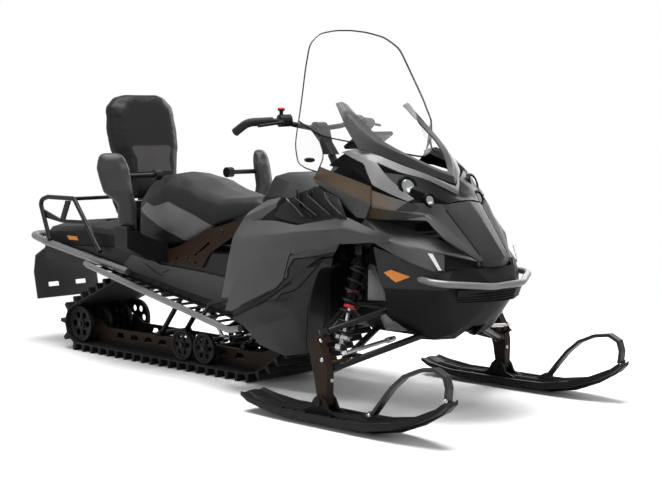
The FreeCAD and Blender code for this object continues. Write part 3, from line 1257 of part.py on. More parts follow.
keep("headlamps", Part.makeCompound([*lenses, both(strip)]))
reflector = slab_y([(-1160, 556), (-1084, 556), (-1076, 538), (-1146, 538)], 204.5, 211)
keep("amber_lamps", both(Part.makeCompound([mirror(side_lamp), reflector])))
keep("grille", fuse([grille_frame, *slats]))
keep("front_bumper", tube([(1108, -266, 530), (1206, -284, 522), (1314, -92, 504), (1314, 92, 504), (1206, 284, 522),
                           (1108, 266, 530)], d.bumper_bar_radius, 120))

# guard plates beside the shocks and the lower arms

guard_high = moulding([
    right((838, 244, 566), (864, 240, 560)),
    right((818, 226, 424), (918, 224, 430)),
], 4)
guard_low = moulding([
    right((890, 222, 388), (936, 214, 350), (1046, 160, 334)),
    right((881, 222, 360), (890, 205, 314), (960, 182, 314)),
], 4)
posts = [rod((852, frame_out + 0.2, 545), (852, 240, 545), 8).cut(mirror(guard_high)),
         rod((925, frame_out + 0.2, 352), (925, 215, 352), 8).cut(mirror(guard_low))]
posts = [max(post_cut.Solids, key=lambda piece: -piece.BoundBox.YMin) for post_cut in posts]
keep("guard_plates", both(Part.makeCompound([guard_high, guard_low, *[mirror(post_cut) for post_cut in posts]])))

# tank and console between the seat and the dash, with a well for the steering column

tilt = math.radians(d.column_tilt)
axis = Vector(-math.sin(tilt), 0, math.cos(tilt))
bar_centre = Vector(d.bar_centre_x + 12, 0, d.bar_centre_height)


def tank_ring(x, low, high, half, shoulder):
    return [(x, -half, low), (x, -half, shoulder), (x, -0.72 * half, high - 14), (x, -0.35 * half, high),
            (x, 0.35 * half, high), (x, 0.72 * half, high - 14), (x, half, shoulder), (x, half, low)]


tank = loft([tank_ring(*ring) for ring in (
    (138.3, 600, 790, 120, 740), (180, 590, 868, 180, 780), (230, 590, 896, 215, 800), (330, 600, 872, 226, 800),
    (400, 640, 850, 222, 800), (520, 640, 880, 225, 830), (570, 640, 950, 215, 880), (640, 650, 985, 205, 930),
    (700, 660, 975, 190, 930))])
well = Part.makeCylinder(d.column_radius + 0.3, 400, bar_centre - axis * 400, axis)
tank = tank.cut(well)
tank_object = keep("fuel_tank", main_solid(tank))
screen = doc.addObject("Part::Box", "screen")
screen.Placement.Rotation = FreeCAD.Rotation(Vector(0, 1, 0), 58)
bind(screen, {"Length": "display_thick", "Width": "display_width", "Height": "display_tall"},
     ("display_x", "-display_width / 2", "display_height"))
stalk = box("display_stalk", "30", "60", "60", ("display_x + 15", "-30", "display_height - 62"))
housing = doc.addObject("Part::MultiFuse", "display_housing")
housing.Shapes = [screen, stalk]
display = doc.addObject("Part::Cut", "display")
display.Base, display.Tool = housing, tank_object
keep_object(display, "display")
doc.recompute()

# handlebar on its column, one steering body

grip_outer = [(d.bar_centre_x - 84, d.bar_half_width, d.bar_centre_height - 16),
              (d.bar_centre_x - 26, d.bar_half_width - 12, d.bar_centre_height + 22)]
bar_line = [grip_outer[0], grip_outer[1], (d.bar_centre_x + 16, 245, d.bar_centre_height + 28),
            (d.bar_centre_x + 22, 110, d.bar_centre_height + 6), (d.bar_centre_x + 12, 60, d.bar_centre_height)]
full_line = [(x, -y, z) for x, y, z in bar_line] + [(x, y, z) for x, y, z in reversed(bar_line)]
bar = tube(full_line, d.bar_radius, 40)
keep("handlebar", bar)
riser = fuse([
    Part.makeCylinder(24, 56, bar_centre - Vector(0, 28, 0), Vector(0, 1, 0)),
    loft([[tuple(bar_centre - axis * k + Vector(u * w, v * w2, 0)) for u, v in ((-1, -1), (1, -1), (1, 1), (-1, 1))]
          for k, w, w2 in ((4, 20, 40), (70, 15, 24), (130, 22, 26))]),
]).cut(bar)
column = Part.makeCylinder(d.column_radius, d.column_length - 130, bar_centre - axis * d.column_length, axis)
keep("steering_column", column.fuse(main_solid(riser)).removeSplitter())
grips, switches = [], []
for side in (-1, 1):
    a, b, c = (Vector(x, side * y, z) for x, y, z in bar_line[:3])
    outer = tube([tuple(a + (a - b).normalize() * 3), tuple(b), tuple(c + (b - c) * 0.18)], d.grip_radius, 40)
    grips.append(outer.cut(bar))
    block = Part.makeCylinder(25, 50, c - (c - b).normalize() * -6, (c - b).normalize())
    lever = rod(tuple(c + Vector(34, 0, -6)), tuple(b + Vector(52, side * -10, -14)), 6)
    block = block.fuse(rod(tuple(c + Vector(0, 0, -2)), tuple(c + Vector(34, 0, -6)), 9)).fuse(lever)
    switches.append(block.cut(bar).cut(grips[-1]))
keep("grips", Part.makeCompound(grips))
stop_at = Vector(d.bar_centre_x + 16, -225, d.bar_centre_height + 52)
stop = rod(tuple(stop_at), tuple(stop_at + Vector(0, 0, 22)), 8).fuse(
    rod(tuple(stop_at + Vector(0, 0, 16)), tuple(stop_at + Vector(0, 0, 24)), 14))
switches[0] = main_solid(switches[0].cut(stop))
keep("controls", Part.makeCompound([*switches, stop]))

# where panels and bars meet, the one behind gives way to the one in front

SEATS = [
    ("running_boards", "board_edge_tubes"), ("front_fenders", "headlamps"),
    ("hood", "headlamps"), ("lamp_visor", "headlamps"), ("lamp_visor", "hood"), ("lamp_visor", "lamp_bezel"),
    ("hood", "lamp_bezel"), ("hood", "upper_panels"), ("front_hull", "front_frame"), ("front_hull", "grille"),
    ("front_hull", "lower_arms"), ("front_hull", "guard_plates"), ("front_hull", "front_bumper"),
    ("front_hull", "amber_lamps"), ("front_hull", "front_fenders"), ("front_fenders", "hood"),
    ("quarter_windows", "lamp_bezel"), ("windshield_frame", "lamp_bezel"),
    ("windshield_frame", "windshield"), ("foot_rests", "board_edge_tubes"), ("seat", "fuel_tank"),
    ("side_vents", "upper_panels"), ("slide_rails", "suspension_arms"), ("upper_panels", "quarter_windows"),
    ("side_panels", "front_fenders"), ("side_vents", "side_panels"), ("tunnel_covers", "foot_rests"),
    ("grille", "front_bumper"), ("cargo_rack", "rear_bumper"), ("cargo_rack", "cargo_deck"),
    ("tunnel_covers", "rear_bumper"), ("passenger_brackets", "tunnel"), ("snow_flap", "tunnel"), ("snow_flap", "cargo_deck"),
    ("amber_lamps", "cargo_deck"),("deflectors", "windshield"), ("front_springs", "upper_arms"), ("lamp_visor", "front_fenders"), ("fuel_tank", "side_vents"),
]
by_name = {made.Label: made for made in nodes}
for behind, front in SEATS:
    kept = by_name[behind].Shape.cut(by_name[front].Shape)
    by_name[behind].Shape = Part.makeCompound([piece for piece in kept.Solids if piece.Volume > 400])

# every piece has to be whole before anything is written

doc.recompute()
for made in doc.Objects:
    if "Invalid" in made.State or "Error" in made.State:
        raise RuntimeError(f"{made.Label} did not compute")
os.makedirs("parts", exist_ok=True)
for made in nodes:
    if made.Shape.isNull() or not made.Shape.isValid():
        raise RuntimeError(f"{made.Label} has no valid shape")
for made in nodes:
    made.Shape.exportStep(os.path.join("parts", made.Label + ".step"))
    print(made.Label, len(made.Shape.Solids), round(made.Shape.Volume / 1000))
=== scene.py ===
"""Looks for a two-seat touring snowmobile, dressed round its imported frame. Everything is in metres."""
import json
import math

import bmesh
import bpy
from mathutils import Matrix, Vector
from mathutils.bvhtree import BVHTree

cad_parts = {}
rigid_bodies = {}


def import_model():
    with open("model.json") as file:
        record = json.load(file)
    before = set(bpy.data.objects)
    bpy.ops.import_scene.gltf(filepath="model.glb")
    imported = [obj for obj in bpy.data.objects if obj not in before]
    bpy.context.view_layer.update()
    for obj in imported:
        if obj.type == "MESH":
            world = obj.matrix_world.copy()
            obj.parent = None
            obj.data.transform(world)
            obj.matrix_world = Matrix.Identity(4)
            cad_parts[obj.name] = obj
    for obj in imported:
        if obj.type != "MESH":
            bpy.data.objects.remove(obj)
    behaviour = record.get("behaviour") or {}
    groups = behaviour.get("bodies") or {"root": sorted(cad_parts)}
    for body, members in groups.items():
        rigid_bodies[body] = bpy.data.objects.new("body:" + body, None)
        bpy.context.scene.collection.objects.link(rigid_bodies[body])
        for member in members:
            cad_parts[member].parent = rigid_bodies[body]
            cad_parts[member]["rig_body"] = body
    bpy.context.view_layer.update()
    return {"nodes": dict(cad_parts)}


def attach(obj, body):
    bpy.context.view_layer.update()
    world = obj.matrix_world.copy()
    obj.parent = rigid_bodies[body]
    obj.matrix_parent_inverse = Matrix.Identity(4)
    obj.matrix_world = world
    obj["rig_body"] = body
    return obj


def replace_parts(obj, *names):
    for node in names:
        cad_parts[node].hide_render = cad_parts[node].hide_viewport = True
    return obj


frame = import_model()
MM = 0.001

# camera, at the photograph's angle

LOOKS_DOWN, TURNED_FROM_REAR = 4.989, 43.891
cam_data = bpy.data.cameras.new("camera")
cam_data.lens, cam_data.sensor_width = 77.17, 36
camera = bpy.data.objects.new("camera", cam_data)
camera.location = (4.4725, -4.2353, 1.1286)
camera.rotation_euler = (math.radians(90 - LOOKS_DOWN), 0, math.radians(TURNED_FROM_REAR))
bpy.context.scene.collection.objects.link(camera)
bpy.context.scene.camera = camera
bpy.context.scene.view_settings.view_transform = "Standard"

# material makers: every finish has its own small-scale colour, gloss and surface change

GLOSS_CHANGE = 0.04
GRAIN_HEIGHT = 0.6 * MM


def node_maker(tree):
    """A helper that adds a node to a tree. Each input is a value or another node's output."""
    def add(kind, inputs=None, **settings):
        made = tree.nodes.new(kind)
        for key, value in settings.items():
            setattr(made, key, value)
        for key, value in (inputs or {}).items():
            if isinstance(value, bpy.types.NodeSocket):
                tree.links.new(value, made.inputs[key])
            else:
                made.inputs[key].default_value = value
        return made

    return add


def new_finish(name):
    """An empty material with its shader, a helper that adds nodes and one that joins them."""
    mat = bpy.data.materials.new(name)
    mat.use_nodes = True
    tree = mat.node_tree
    return mat, tree.nodes["Principled BSDF"], node_maker(tree), tree.links.new


def shades(add, factor, dark, light, low=0.35, high=0.65):
    """A ramp between two close colours."""
    ramp = add("ShaderNodeValToRGB", {"Fac": factor})
    for stop, place, colour in zip(ramp.color_ramp.elements, (low, high), (dark, light)):
        stop.position, stop.color = place, (*colour, 1)
    return ramp.outputs["Color"]


def scaled(colour, share):
    return tuple(min(1, c * share) for c in colour)


def moulded(name, colour, rough, spread=0.08, cloud=7, grain=900, depth=0.12, metallic=0.0, coat=0.0,
            shine=0.5):
    """Moulded plastic or paint: faint clouding, uneven gloss and a fine grain."""
    mat, shader, add, join = new_finish(name)
    place = add("ShaderNodeTexCoord").outputs["Object"]
    broad = add("ShaderNodeTexNoise", {"Vector": place, "Scale": cloud, "Detail": 4}).outputs["Fac"]
    fine = add("ShaderNodeTexNoise", {"Vector": place, "Scale": grain, "Detail": 2}).outputs["Fac"]
    clouded = shades(add, broad, scaled(colour, 1 - spread), scaled(colour, 1 + spread))
    join(clouded, shader.inputs["Base Color"])
    gloss = add("ShaderNodeMapRange", {"Value": broad, "From Min": 0.3, "From Max": 0.7,
                                       "To Min": rough - GLOSS_CHANGE, "To Max": rough + GLOSS_CHANGE})
    join(gloss.outputs["Result"], shader.inputs["Roughness"])
    bump = add("ShaderNodeBump", {"Height": fine, "Strength": depth, "Distance": GRAIN_HEIGHT})
    join(bump.outputs["Normal"], shader.inputs["Normal"])
    shader.inputs["Metallic"].default_value = metallic
    shader.inputs["Coat Weight"].default_value = coat
    shader.inputs["Specular IOR Level"].default_value = shine
    return mat


def faded(name, near, far, start, end, rough, shine):
    """Paint that changes from one colour to another along the machine."""
    mat, shader, add, join = new_finish(name)
    place = add("ShaderNodeTexCoord").outputs["Object"]
    along = add("ShaderNodeSeparateXYZ", {"Vector": place}).outputs["X"]
    speck = add("ShaderNodeTexNoise", {"Vector": place, "Scale": 700, "Detail": 2}).outputs["Fac"]
    share = add("ShaderNodeMapRange", {"Value": along, "From Min": start, "From Max": end}).outputs["Result"]
    mixed = add("ShaderNodeMath", {0: share, 1: speck}, operation="ADD").outputs["Value"]
    join(shades(add, mixed, near, far, 0.5, 1.0), shader.inputs["Base Color"])
    gloss = add("ShaderNodeMapRange", {"Value": speck, "To Min": rough - GLOSS_CHANGE,
                                       "To Max": rough + GLOSS_CHANGE})
    join(gloss.outputs["Result"], shader.inputs["Roughness"])
    shader.inputs["Specular IOR Level"].default_value = shine
    return mat


def clear(name, tint, body, edge_body, rough=0.03):
    """Clear moulded sheet: nearly unseen face on, whiter at a glancing angle, where more of its pale colour
    shows as a painted reflection.
    """
    mat, shader, add, join = new_finish(name)
    place = add("ShaderNodeTexCoord").outputs["Object"]
    haze = add("ShaderNodeTexNoise", {"Vector": place, "Scale": 3.5, "Detail": 3}).outputs["Fac"]
    join(shades(add, haze, scaled(tint, 0.94), tint), shader.inputs["Base Color"])
    gloss = add("ShaderNodeMapRange", {"Value": haze, "To Min": rough, "To Max": rough + GLOSS_CHANGE})
    join(gloss.outputs["Result"], shader.inputs["Roughness"])
    # the pale colour shows more at a glancing angle: painted reflection
    glance = add("ShaderNodeLayerWeight", {"Blend": 0.25}).outputs["Facing"]
    painted_glance_reflection = add("ShaderNodeMapRange", {"Value": glance, "To Min": body, "To Max": edge_body})
    join(painted_glance_reflection.outputs["Result"], shader.inputs["Alpha"])
    return mat


# finishes that the frame names, one for each material slot

graphite = moulded("graphite_panel", (0.029, 0.029, 0.030), 0.40, shine=0.26)
black = moulded("black_plastic", (0.0050, 0.0050, 0.0052), 0.52, grain=700, depth=0.3, shine=0.12)
gloss_black = moulded("gloss_black", (0.002, 0.002, 0.0022), 0.30, grain=300, depth=0.02, shine=0.06)
bronze = moulded("bronze_paint", (0.017, 0.0090, 0.0054), 0.46, grain=1500, depth=0.08, shine=0.08)
black_paint = moulded("black_paint", (0.0055, 0.0055, 0.0055), 0.38, grain=1200, depth=0.1, shine=0.18)
silver = moulded("silver_paint", (0.135, 0.135, 0.14), 0.38, metallic=0.5, grain=1600, depth=0.06)
bezel_paint = moulded("bezel_paint", (0.17, 0.166, 0.166), 0.42, shine=0.25, grain=1600, depth=0.05)
lamp_glass = moulded("lamp_glass", (0.30, 0.31, 0.32), 0.08, metallic=0.6, grain=120, depth=0.2, coat=0.8)
shield_glass = clear("clear_glass", (0.80, 0.82, 0.83), 0.035, 0.165)
amber = moulded("amber", (0.52, 0.165, 0.008), 0.30, grain=260, depth=0.4, coat=0.2, shine=0.3)
track_rubber = moulded("track_rubber", (0.0075, 0.0075, 0.0075), 0.72, spread=0.2, cloud=40, grain=500,
                       depth=0.5, shine=0.2)
grip_rubber = moulded("grip_rubber", (0.008, 0.008, 0.008), 0.65, grain=420, depth=0.7, shine=0.2)
seat_vinyl = moulded("seat_cover", (0.0080, 0.0080, 0.0084), 0.50, grain=750, depth=0.5, shine=0.18)
steel = moulded("steel", (0.40, 0.40, 0.41), 0.28, metallic=1.0, grain=900, depth=0.05)
alloy = moulded("alloy", (0.08, 0.08, 0.082), 0.42, metallic=0.6, grain=500, depth=0.3)
FINISHES = {
    "graphite_panel": graphite, "black_plastic": black, "gloss_black": gloss_black, "bronze_paint": bronze,
    "black_paint": black_paint, "silver_paint": silver, "bezel_paint": bezel_paint, "lamp_glass": lamp_glass,
    "clear_glass": shield_glass, "amber": amber, "track_rubber": track_rubber, "grip_rubber": grip_rubber,
    "seat_cover": seat_vinyl, "steel": steel, "alloy": alloy,
}

# second finishes of single pieces

charcoal = moulded("charcoal_panel", (0.015, 0.015, 0.0155), 0.42, shine=0.2)
bronze_face = moulded("bronze_face", (0.036, 0.0235, 0.0128), 0.50, grain=1500, depth=0.08, shine=0.05)
shoulder_fade = faded("shoulder_fade", (0.046, 0.030, 0.016), (0.029, 0.029, 0.030), 0.92, 1.12, 0.38, 0.06)
guard_grey = moulded("guard_grey", (0.019, 0.019, 0.0195), 0.46, grain=700, depth=0.25, shine=0.25)
flap_grey = moulded("flap_grey", (0.030, 0.030, 0.031), 0.5, grain=500, depth=0.3, shine=0.3)
back_vinyl = moulded("back_vinyl", (0.0036, 0.0036, 0.0038), 0.46, grain=750, depth=0.4, shine=0.16)
grey_vinyl = moulded("grey_vinyl", (0.085, 0.081, 0.081), 0.55, grain=700, depth=0.5)
insert_grey = moulded("insert_grey", (0.036, 0.034, 0.034), 0.6, grain=650, depth=0.6, shine=0.15)
lamp_chrome = moulded("lamp_chrome", (0.26, 0.265, 0.27), 0.16, metallic=0.9, grain=90, depth=0.1)
knee_grey = moulded("knee_grey", (0.046, 0.046, 0.047), 0.42, shine=0.25)
side_grey = moulded("side_grey", (0.032, 0.032, 0.033), 0.40, shine=0.26)
side_dark = moulded("side_dark", (0.0100, 0.0100, 0.0104), 0.42, shine=0.2)
hull_grey = moulded("hull_grey", (0.014, 0.014, 0.0145), 0.46, grain=700, depth=0.2, shine=0.2)
white_strip = moulded("white_strip", (0.70, 0.70, 0.70), 0.25, grain=400, depth=0.05)
red_anodised = moulded("red_anodised", (0.45, 0.010, 0.012), 0.34, metallic=0.4, grain=1200, depth=0.05)
# near-black finish that paints shade: on the clear sheets' cut edges and along the panel seams
edge_smoke = moulded("edge_smoke", (0.004, 0.004, 0.004), 0.4, grain=400, depth=0.1, shine=0.1)

nodes = frame["nodes"]
slot_of = {name: node.data.materials[0].name.split(".")[0] for name, node in nodes.items()}
for name, node in nodes.items():
    node.data.materials[0] = FINISHES[slot_of[name]]

# how pieces are made

SIDES = {"right": -1, "left": 1}
SAME_POINT = 0.02 * MM


def put(made):
    """Puts an object into the scene."""
    bpy.context.scene.collection.objects.link(made)
    return made


def piece(name, form, body, slot, finish=None, sharp=32):
    """A finished object from a bmesh, riding on a body, smooth but for edges sharper than the given angle."""
    mesh = bpy.data.meshes.new(name)
    form.normal_update()
    form.to_mesh(mesh)
    form.free()
    mesh.materials.append(finish or FINISHES[slot])
    mesh.shade_smooth()
    mesh.set_sharp_from_angle(angle=math.radians(sharp))
    made = put(bpy.data.objects.new(name, mesh))
    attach(made, body)
    return made


def copy_of(name, flat=0.6):
    """A copy of a CAD node's mesh, with its flat faces whole again."""
    form = bmesh.new()
    form.from_mesh(nodes[name].data)
    bmesh.ops.remove_doubles(form, verts=form.verts, dist=SAME_POINT)
    bmesh.ops.dissolve_degenerate(form, edges=form.edges, dist=SAME_POINT)
    bmesh.ops.dissolve_limit(form, angle_limit=math.radians(flat), verts=form.verts, edges=form.edges)
    return form


def fresh_mesh(source, name):
    """The mesh of an object with its modifiers applied."""
    graph = bpy.context.evaluated_depsgraph_get()
    made = bpy.data.meshes.new_from_object(source.evaluated_get(graph), depsgraph=graph)
    made.name = name
    return made


def round_edges(made, width, sharp=30):
    """Rounds the edges sharper than the given angle."""
    bevel = made.modifiers.new("rounded_edges", "BEVEL")
    bevel.width, bevel.segments, bevel.limit_method = width, 2, "ANGLE"
    bevel.angle_limit, bevel.harden_normals = math.radians(sharp), True
    bevel.use_clamp_overlap = True


def smooth_folds(made, levels):
    """Smooths a piece between its creased edges."""
    soft = made.modifiers.new("soft_folds", "SUBSURF")
    soft.levels = soft.render_levels = levels


def side_lengths(mesh, face):
    return [(mesh.vertices[a].co - mesh.vertices[b].co).length for a, b in face.edge_keys]


def dressed(name, width, finish=None, sharp=32, zones=()):
    """A copy of a CAD node with rounded edges, shown in its place. The faces that a zone's rule picks get the
    zone's finish."""
    made = piece(name + "_skin", copy_of(name), nodes[name]["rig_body"], slot_of[name], finish, sharp)
    mesh = made.data
    for k, (paint, rule) in enumerate(zones, start=1):
        mesh.materials.append(paint)
        for face in mesh.polygons:
            if rule(face.center, face.normal):
                face.material_index = k
    round_edges(made, width, sharp)
    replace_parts(made, name)


# body panels: mouldings with soft folds, crisp style lines and cut edges painted black as the shade in the
# gaps between panels

PANEL_EDGE = 1.2 * MM
PANEL_WALL = 5.4 * MM
CREASE_FADE = 8
JOIN_BELOW, ANY_SHAPE = 32, 150


def painted_gap_shade_rim(mesh, wall):
    """Paints the cut edge of a sheet thinner than wall black, as painted shade in the gaps between panels."""
    mesh.materials.append(black)
    for face in mesh.polygons:
        if face.area < wall * max(side_lengths(mesh, face)) and len(face.vertices) < 5:
            face.material_index = len(mesh.materials) - 1


def softened(name, width=PANEL_EDGE, finish=None, wall=PANEL_WALL, zones=(), keep=22, cuts=()):
    """A moulded panel with its small folds smoothed away. Folds sharper than keep degrees stay crisp.
    Zones meet along cuts, each a plane given by a point and a normal."""
    form = copy_of(name, flat=0.3)
    bmesh.ops.join_triangles(form, faces=form.faces, angle_face_threshold=math.radians(JOIN_BELOW),
                             angle_shape_threshold=math.radians(ANY_SHAPE))
    crease = form.edges.layers.float.new("crease_edge")
    for edge in form.edges:
        turn = edge.calc_face_angle(0) if len(edge.link_faces) == 2 else math.pi
        edge[crease] = min(1, max(0, (turn - math.radians(keep - CREASE_FADE)) / math.radians(CREASE_FADE)))
    body, slot = nodes[name]["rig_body"], slot_of[name]
    rough = piece(name + "_rough", form, body, slot, finish)
    for paint, _ in zones:
        rough.data.materials.append(paint)
    if wall:
        # the panel's thin cut edges are painted black: painted shade in the gaps between panels
        painted_gap_shade_rim(rough.data, wall)
    smooth_folds(rough, 2)
    form = bmesh.new()
    form.from_mesh(fresh_mesh(rough, name + "_soft"))
    for at, way in cuts:
        geom = form.verts[:] + form.edges[:] + form.faces[:]
        bmesh.ops.bisect_plane(form, geom=geom, dist=SAME_POINT / 2, plane_co=at, plane_no=way)
    form.normal_update()
    for face in form.faces:
        for k, (_, rule) in enumerate(zones, start=1):
            if face.material_index == 0 and rule(face.calc_center_median(), face.normal):
                face.material_index = k
    made = piece(name + "_skin", form, body, slot, finish, 30)
    for paint in rough.data.materials[1:]:
        made.data.materials.append(paint)
    bpy.data.objects.remove(rough)
    round_edges(made, width)
    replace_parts(made, name)


def side_plane(line):
    """The crosswise plane through a line of two (x, z) points, as a point and a normal."""
    (xa, za), (xb, zb) = line
    return (xa, 0, za), (za - zb, 0, xb - xa)


def beyond(line, at):
    """Above or in front of a line through two (x, z) points."""
    (xa, za), (xb, zb) = line
    return (at.x - xa) * (za - zb) + (at.z - za) * (xb - xa) > 0


def inside(outline, x, z):
    """Whether a point is inside an outline of (x, z) points."""
    odd = False
    for (xa, za), (xb, zb) in zip(outline, outline[1:] + outline[:1]):
        if (za > z) != (zb > z) and x < (xb - xa) * (z - za) / (zb - za) + xa:
            odd = not odd
    return odd


# hood: a darker middle between two seams, and bronze shoulders

HOOD_SEAM = (1.108, 0.113), (1.258, 0.080)
HOOD_TOP_START = 1.04
SHOULDER_SIDE, SHOULDER_FOOT = 0.20, 0.742


def seam_out(x):
    """How far from the machine's middle the hood's seam lies."""
    (xa, ya), (xb, yb) = HOOD_SEAM
    return ya + (x - xa) * (yb - ya) / (xb - xa)


def hood_middle(at, way):
    return at.x > HOOD_TOP_START and abs(at.y) < seam_out(at.x)


def hood_shoulder(at, way):
    return abs(at.y) > SHOULDER_SIDE and at.z > SHOULDER_FOOT and at.x < HOOD_TOP_START


def hood_cuts():
    """Upright planes along the seams and the shoulders, on both sides."""
    (xa, ya), (xb, yb) = HOOD_SEAM
    seams = [((xa, side * ya, 0), (side * (ya - yb), xb - xa, 0)) for side in (-1, 1)]
    return seams + [((0, side * SHOULDER_SIDE, 0), (0, 1, 0)) for side in (1, -1)]


softened("hood", cuts=hood_cuts(), zones=[(shoulder_fade, hood_shoulder), (charcoal, hood_middle)])
softened("windshield_frame", finish=charcoal)
for name in ("lamp_visor", "lamp_bezel"):
    softened(name, 1.0 * MM, wall=0)

# fenders with a dark recess for the light strip, and the hull below them with a grey band

LAMP_EDGE, LAMP_TOP = ((1.160, 0.630), (1.192, 0.560)), ((1.160, 0.622), (1.254, 0.594))
BAND_FOOT, BAND_FRONT = 0.492, 1.205
softened("front_fenders", cuts=[side_plane(LAMP_EDGE), side_plane(LAMP_TOP)],
         zones=[(gloss_black, lambda at, way: beyond(LAMP_EDGE, at) and not beyond(LAMP_TOP, at))])
softened("front_hull", cuts=[((0, 0, BAND_FOOT), (0, 0, 1)), ((BAND_FRONT, 0, 0), (1, 0, 0))],
         zones=[(hull_grey, lambda at, way: at.z > BAND_FOOT and at.x < BAND_FRONT)])
STRIPS_FROM = 1.13
dressed("headlamps", 1.0 * MM, zones=[(white_strip, lambda at, way: at.x > STRIPS_FROM)])

# sides, darker below their seam

UPPER_SEAM = [(0.800, 0.620), (0.689, 0.594), (0.607, 0.580), (0.583, 0.538), (0.579, 0.509),
              (0.524, 0.462), (0.284, 0.360)]
LOWER_PART = [*UPPER_SEAM, (0.200, 0.330), (0.200, 0.200), (0.900, 0.200), (0.900, 0.640)]
softened("side_panels", keep=17, finish=side_grey,
         cuts=[side_plane(line) for line in zip(UPPER_SEAM, UPPER_SEAM[1:])],
         zones=[(side_dark, lambda at, way: inside(LOWER_PART, at.x, at.z))])
softened("knee_strips", finish=knee_grey)
softened("side_vents")
dressed("quarter_windows", 0.8 * MM, sharp=24)
FACES_UP = 0.45
softened("upper_panels", finish=bronze_face, zones=[(graphite, lambda at, way: way.z < FACES_UP)])

# frame, running gear and trim, with edges rounded by so many millimetres

ROUNDING = {
    "tunnel_covers": 2.0, "cargo_deck": 4.0, "fuel_tank": 8.0, "display": 3.0,
    "ski_left": 2.0, "ski_right": 2.0, "spindle_left": 2.5, "spindle_right": 2.5,
    "seat_plates": 1.0, "slide_rails": 1.5, "passenger_brackets": 2.0, "front_frame": 1.0,
    "running_boards": 0.8, "foot_rests": 1.0, "guard_plates": 1.0, "grille": 1.0,
}
for name, width in ROUNDING.items():
    dressed(name, width * MM)
dressed("snow_flap", 1.5 * MM, finish=flap_grey)
for hand in SIDES:
    dressed(f"ski_loop_{hand}", 3.0 * MM, finish=charcoal)
SHOCK_BODY_FOOT = 0.40
dressed("front_shocks", 1.0 * MM, zones=[(gloss_black, lambda at, way: at.z > SHOCK_BODY_FOOT)])

# piping, and the seams that it follows

SHORT_SEAM = 6


def tube_piece(name, routes, radius, body, slot, finish=None):
    """Smooth round piping through each list of points."""
    data = bpy.data.curves.new(name, "CURVE")
    data.dimensions, data.bevel_depth, data.bevel_resolution, data.use_fill_caps = "3D", radius, 3, True
    for route in routes:
        line = data.splines.new("POLY")
        line.points.add(len(route) - 1)
        for spot, at in zip(line.points, route):
            spot.co = (*at, 1)
    holder = put(bpy.data.objects.new(name + "_line", data))
    form = bmesh.new()
    form.from_mesh(fresh_mesh(holder, name))
    bpy.data.objects.remove(holder)
    bmesh.ops.remove_doubles(form, verts=form.verts, dist=0.001 * MM)
    return piece(name, form, body, slot, finish, sharp=50)


def seam_edges(form, faces):
    """The edge points between the given faces and the rest, in order."""
    chosen = set(faces)
    rim = [e for e in form.edges if len(set(e.link_faces) & chosen) == 1]
    around = {}
    for edge in rim:
        for vert in edge.verts:
            around.setdefault(vert, []).append(edge)
    routes, used = [], set()
    for first in rim:
        if first in used:
            continue
        route, edge, vert = [first.verts[0].co.copy()], first, first.verts[0]
        while edge and edge not in used:
            used.add(edge)
            vert = edge.other_vert(vert)
            route.append(vert.co.copy())
            edge = next((e for e in around[vert] if e not in used), None)
        if len(route) > SHORT_SEAM:
            routes.append(route)
    return routes


# clear sheets: smooth curved windshield and deflectors, their cut edges painted dark as painted shade

CUT_EDGE = 6 * MM
SQUARE_TURN, CORNER_HOLD = 60, 0.35


def smooth_sheet(name, levels):
    """A CAD sheet made smooth between its points, its thin cut edge painted darker than its faces as painted
    shade.
    """
    form = copy_of(name, flat=0.2)
    bmesh.ops.join_triangles(form, faces=form.faces, angle_face_threshold=1.2, angle_shape_threshold=1.8)
    crease = form.edges.layers.float.new("crease_edge")
    corner = form.verts.layers.float.new("crease_vert")
    for edge in form.edges:
        if len(edge.link_faces) == 2 and edge.calc_face_angle(0) > math.radians(SQUARE_TURN):
            edge[crease] = 1
            for vert in edge.verts:
                vert[corner] = CORNER_HOLD
    body = nodes[name]["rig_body"]
    made = piece(name + "_sheet", form, body, slot_of[name], sharp=60)
    made.data.materials.append(edge_smoke)
    for face in made.data.polygons:
        if min(side_lengths(made.data, face)) < CUT_EDGE:
            face.material_index = 1
    smooth_folds(made, levels)
    form = bmesh.new()
    form.from_mesh(fresh_mesh(made, name + "_smooth"))
    routes = seam_edges(form, [face for face in form.faces if face.material_index == 1])
    form.free()
    # a near-black tube along the sheet's cut edge, painted shade
    tube_piece(name + "_edge", routes, CUT_EDGE / 3, body, "black_plastic", edge_smoke)
    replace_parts(made, name)


smooth_sheet("windshield", 3)
smooth_sheet("deflectors", 2)

# padded pieces: a voxel skin, a short pressure run in cloth, then the cover's colours and seams

CLOTH_FRAMES = 18
SMOOTHINGS = 3
NEAR_LINE = 0.03
PIPING = 1.6 * MM


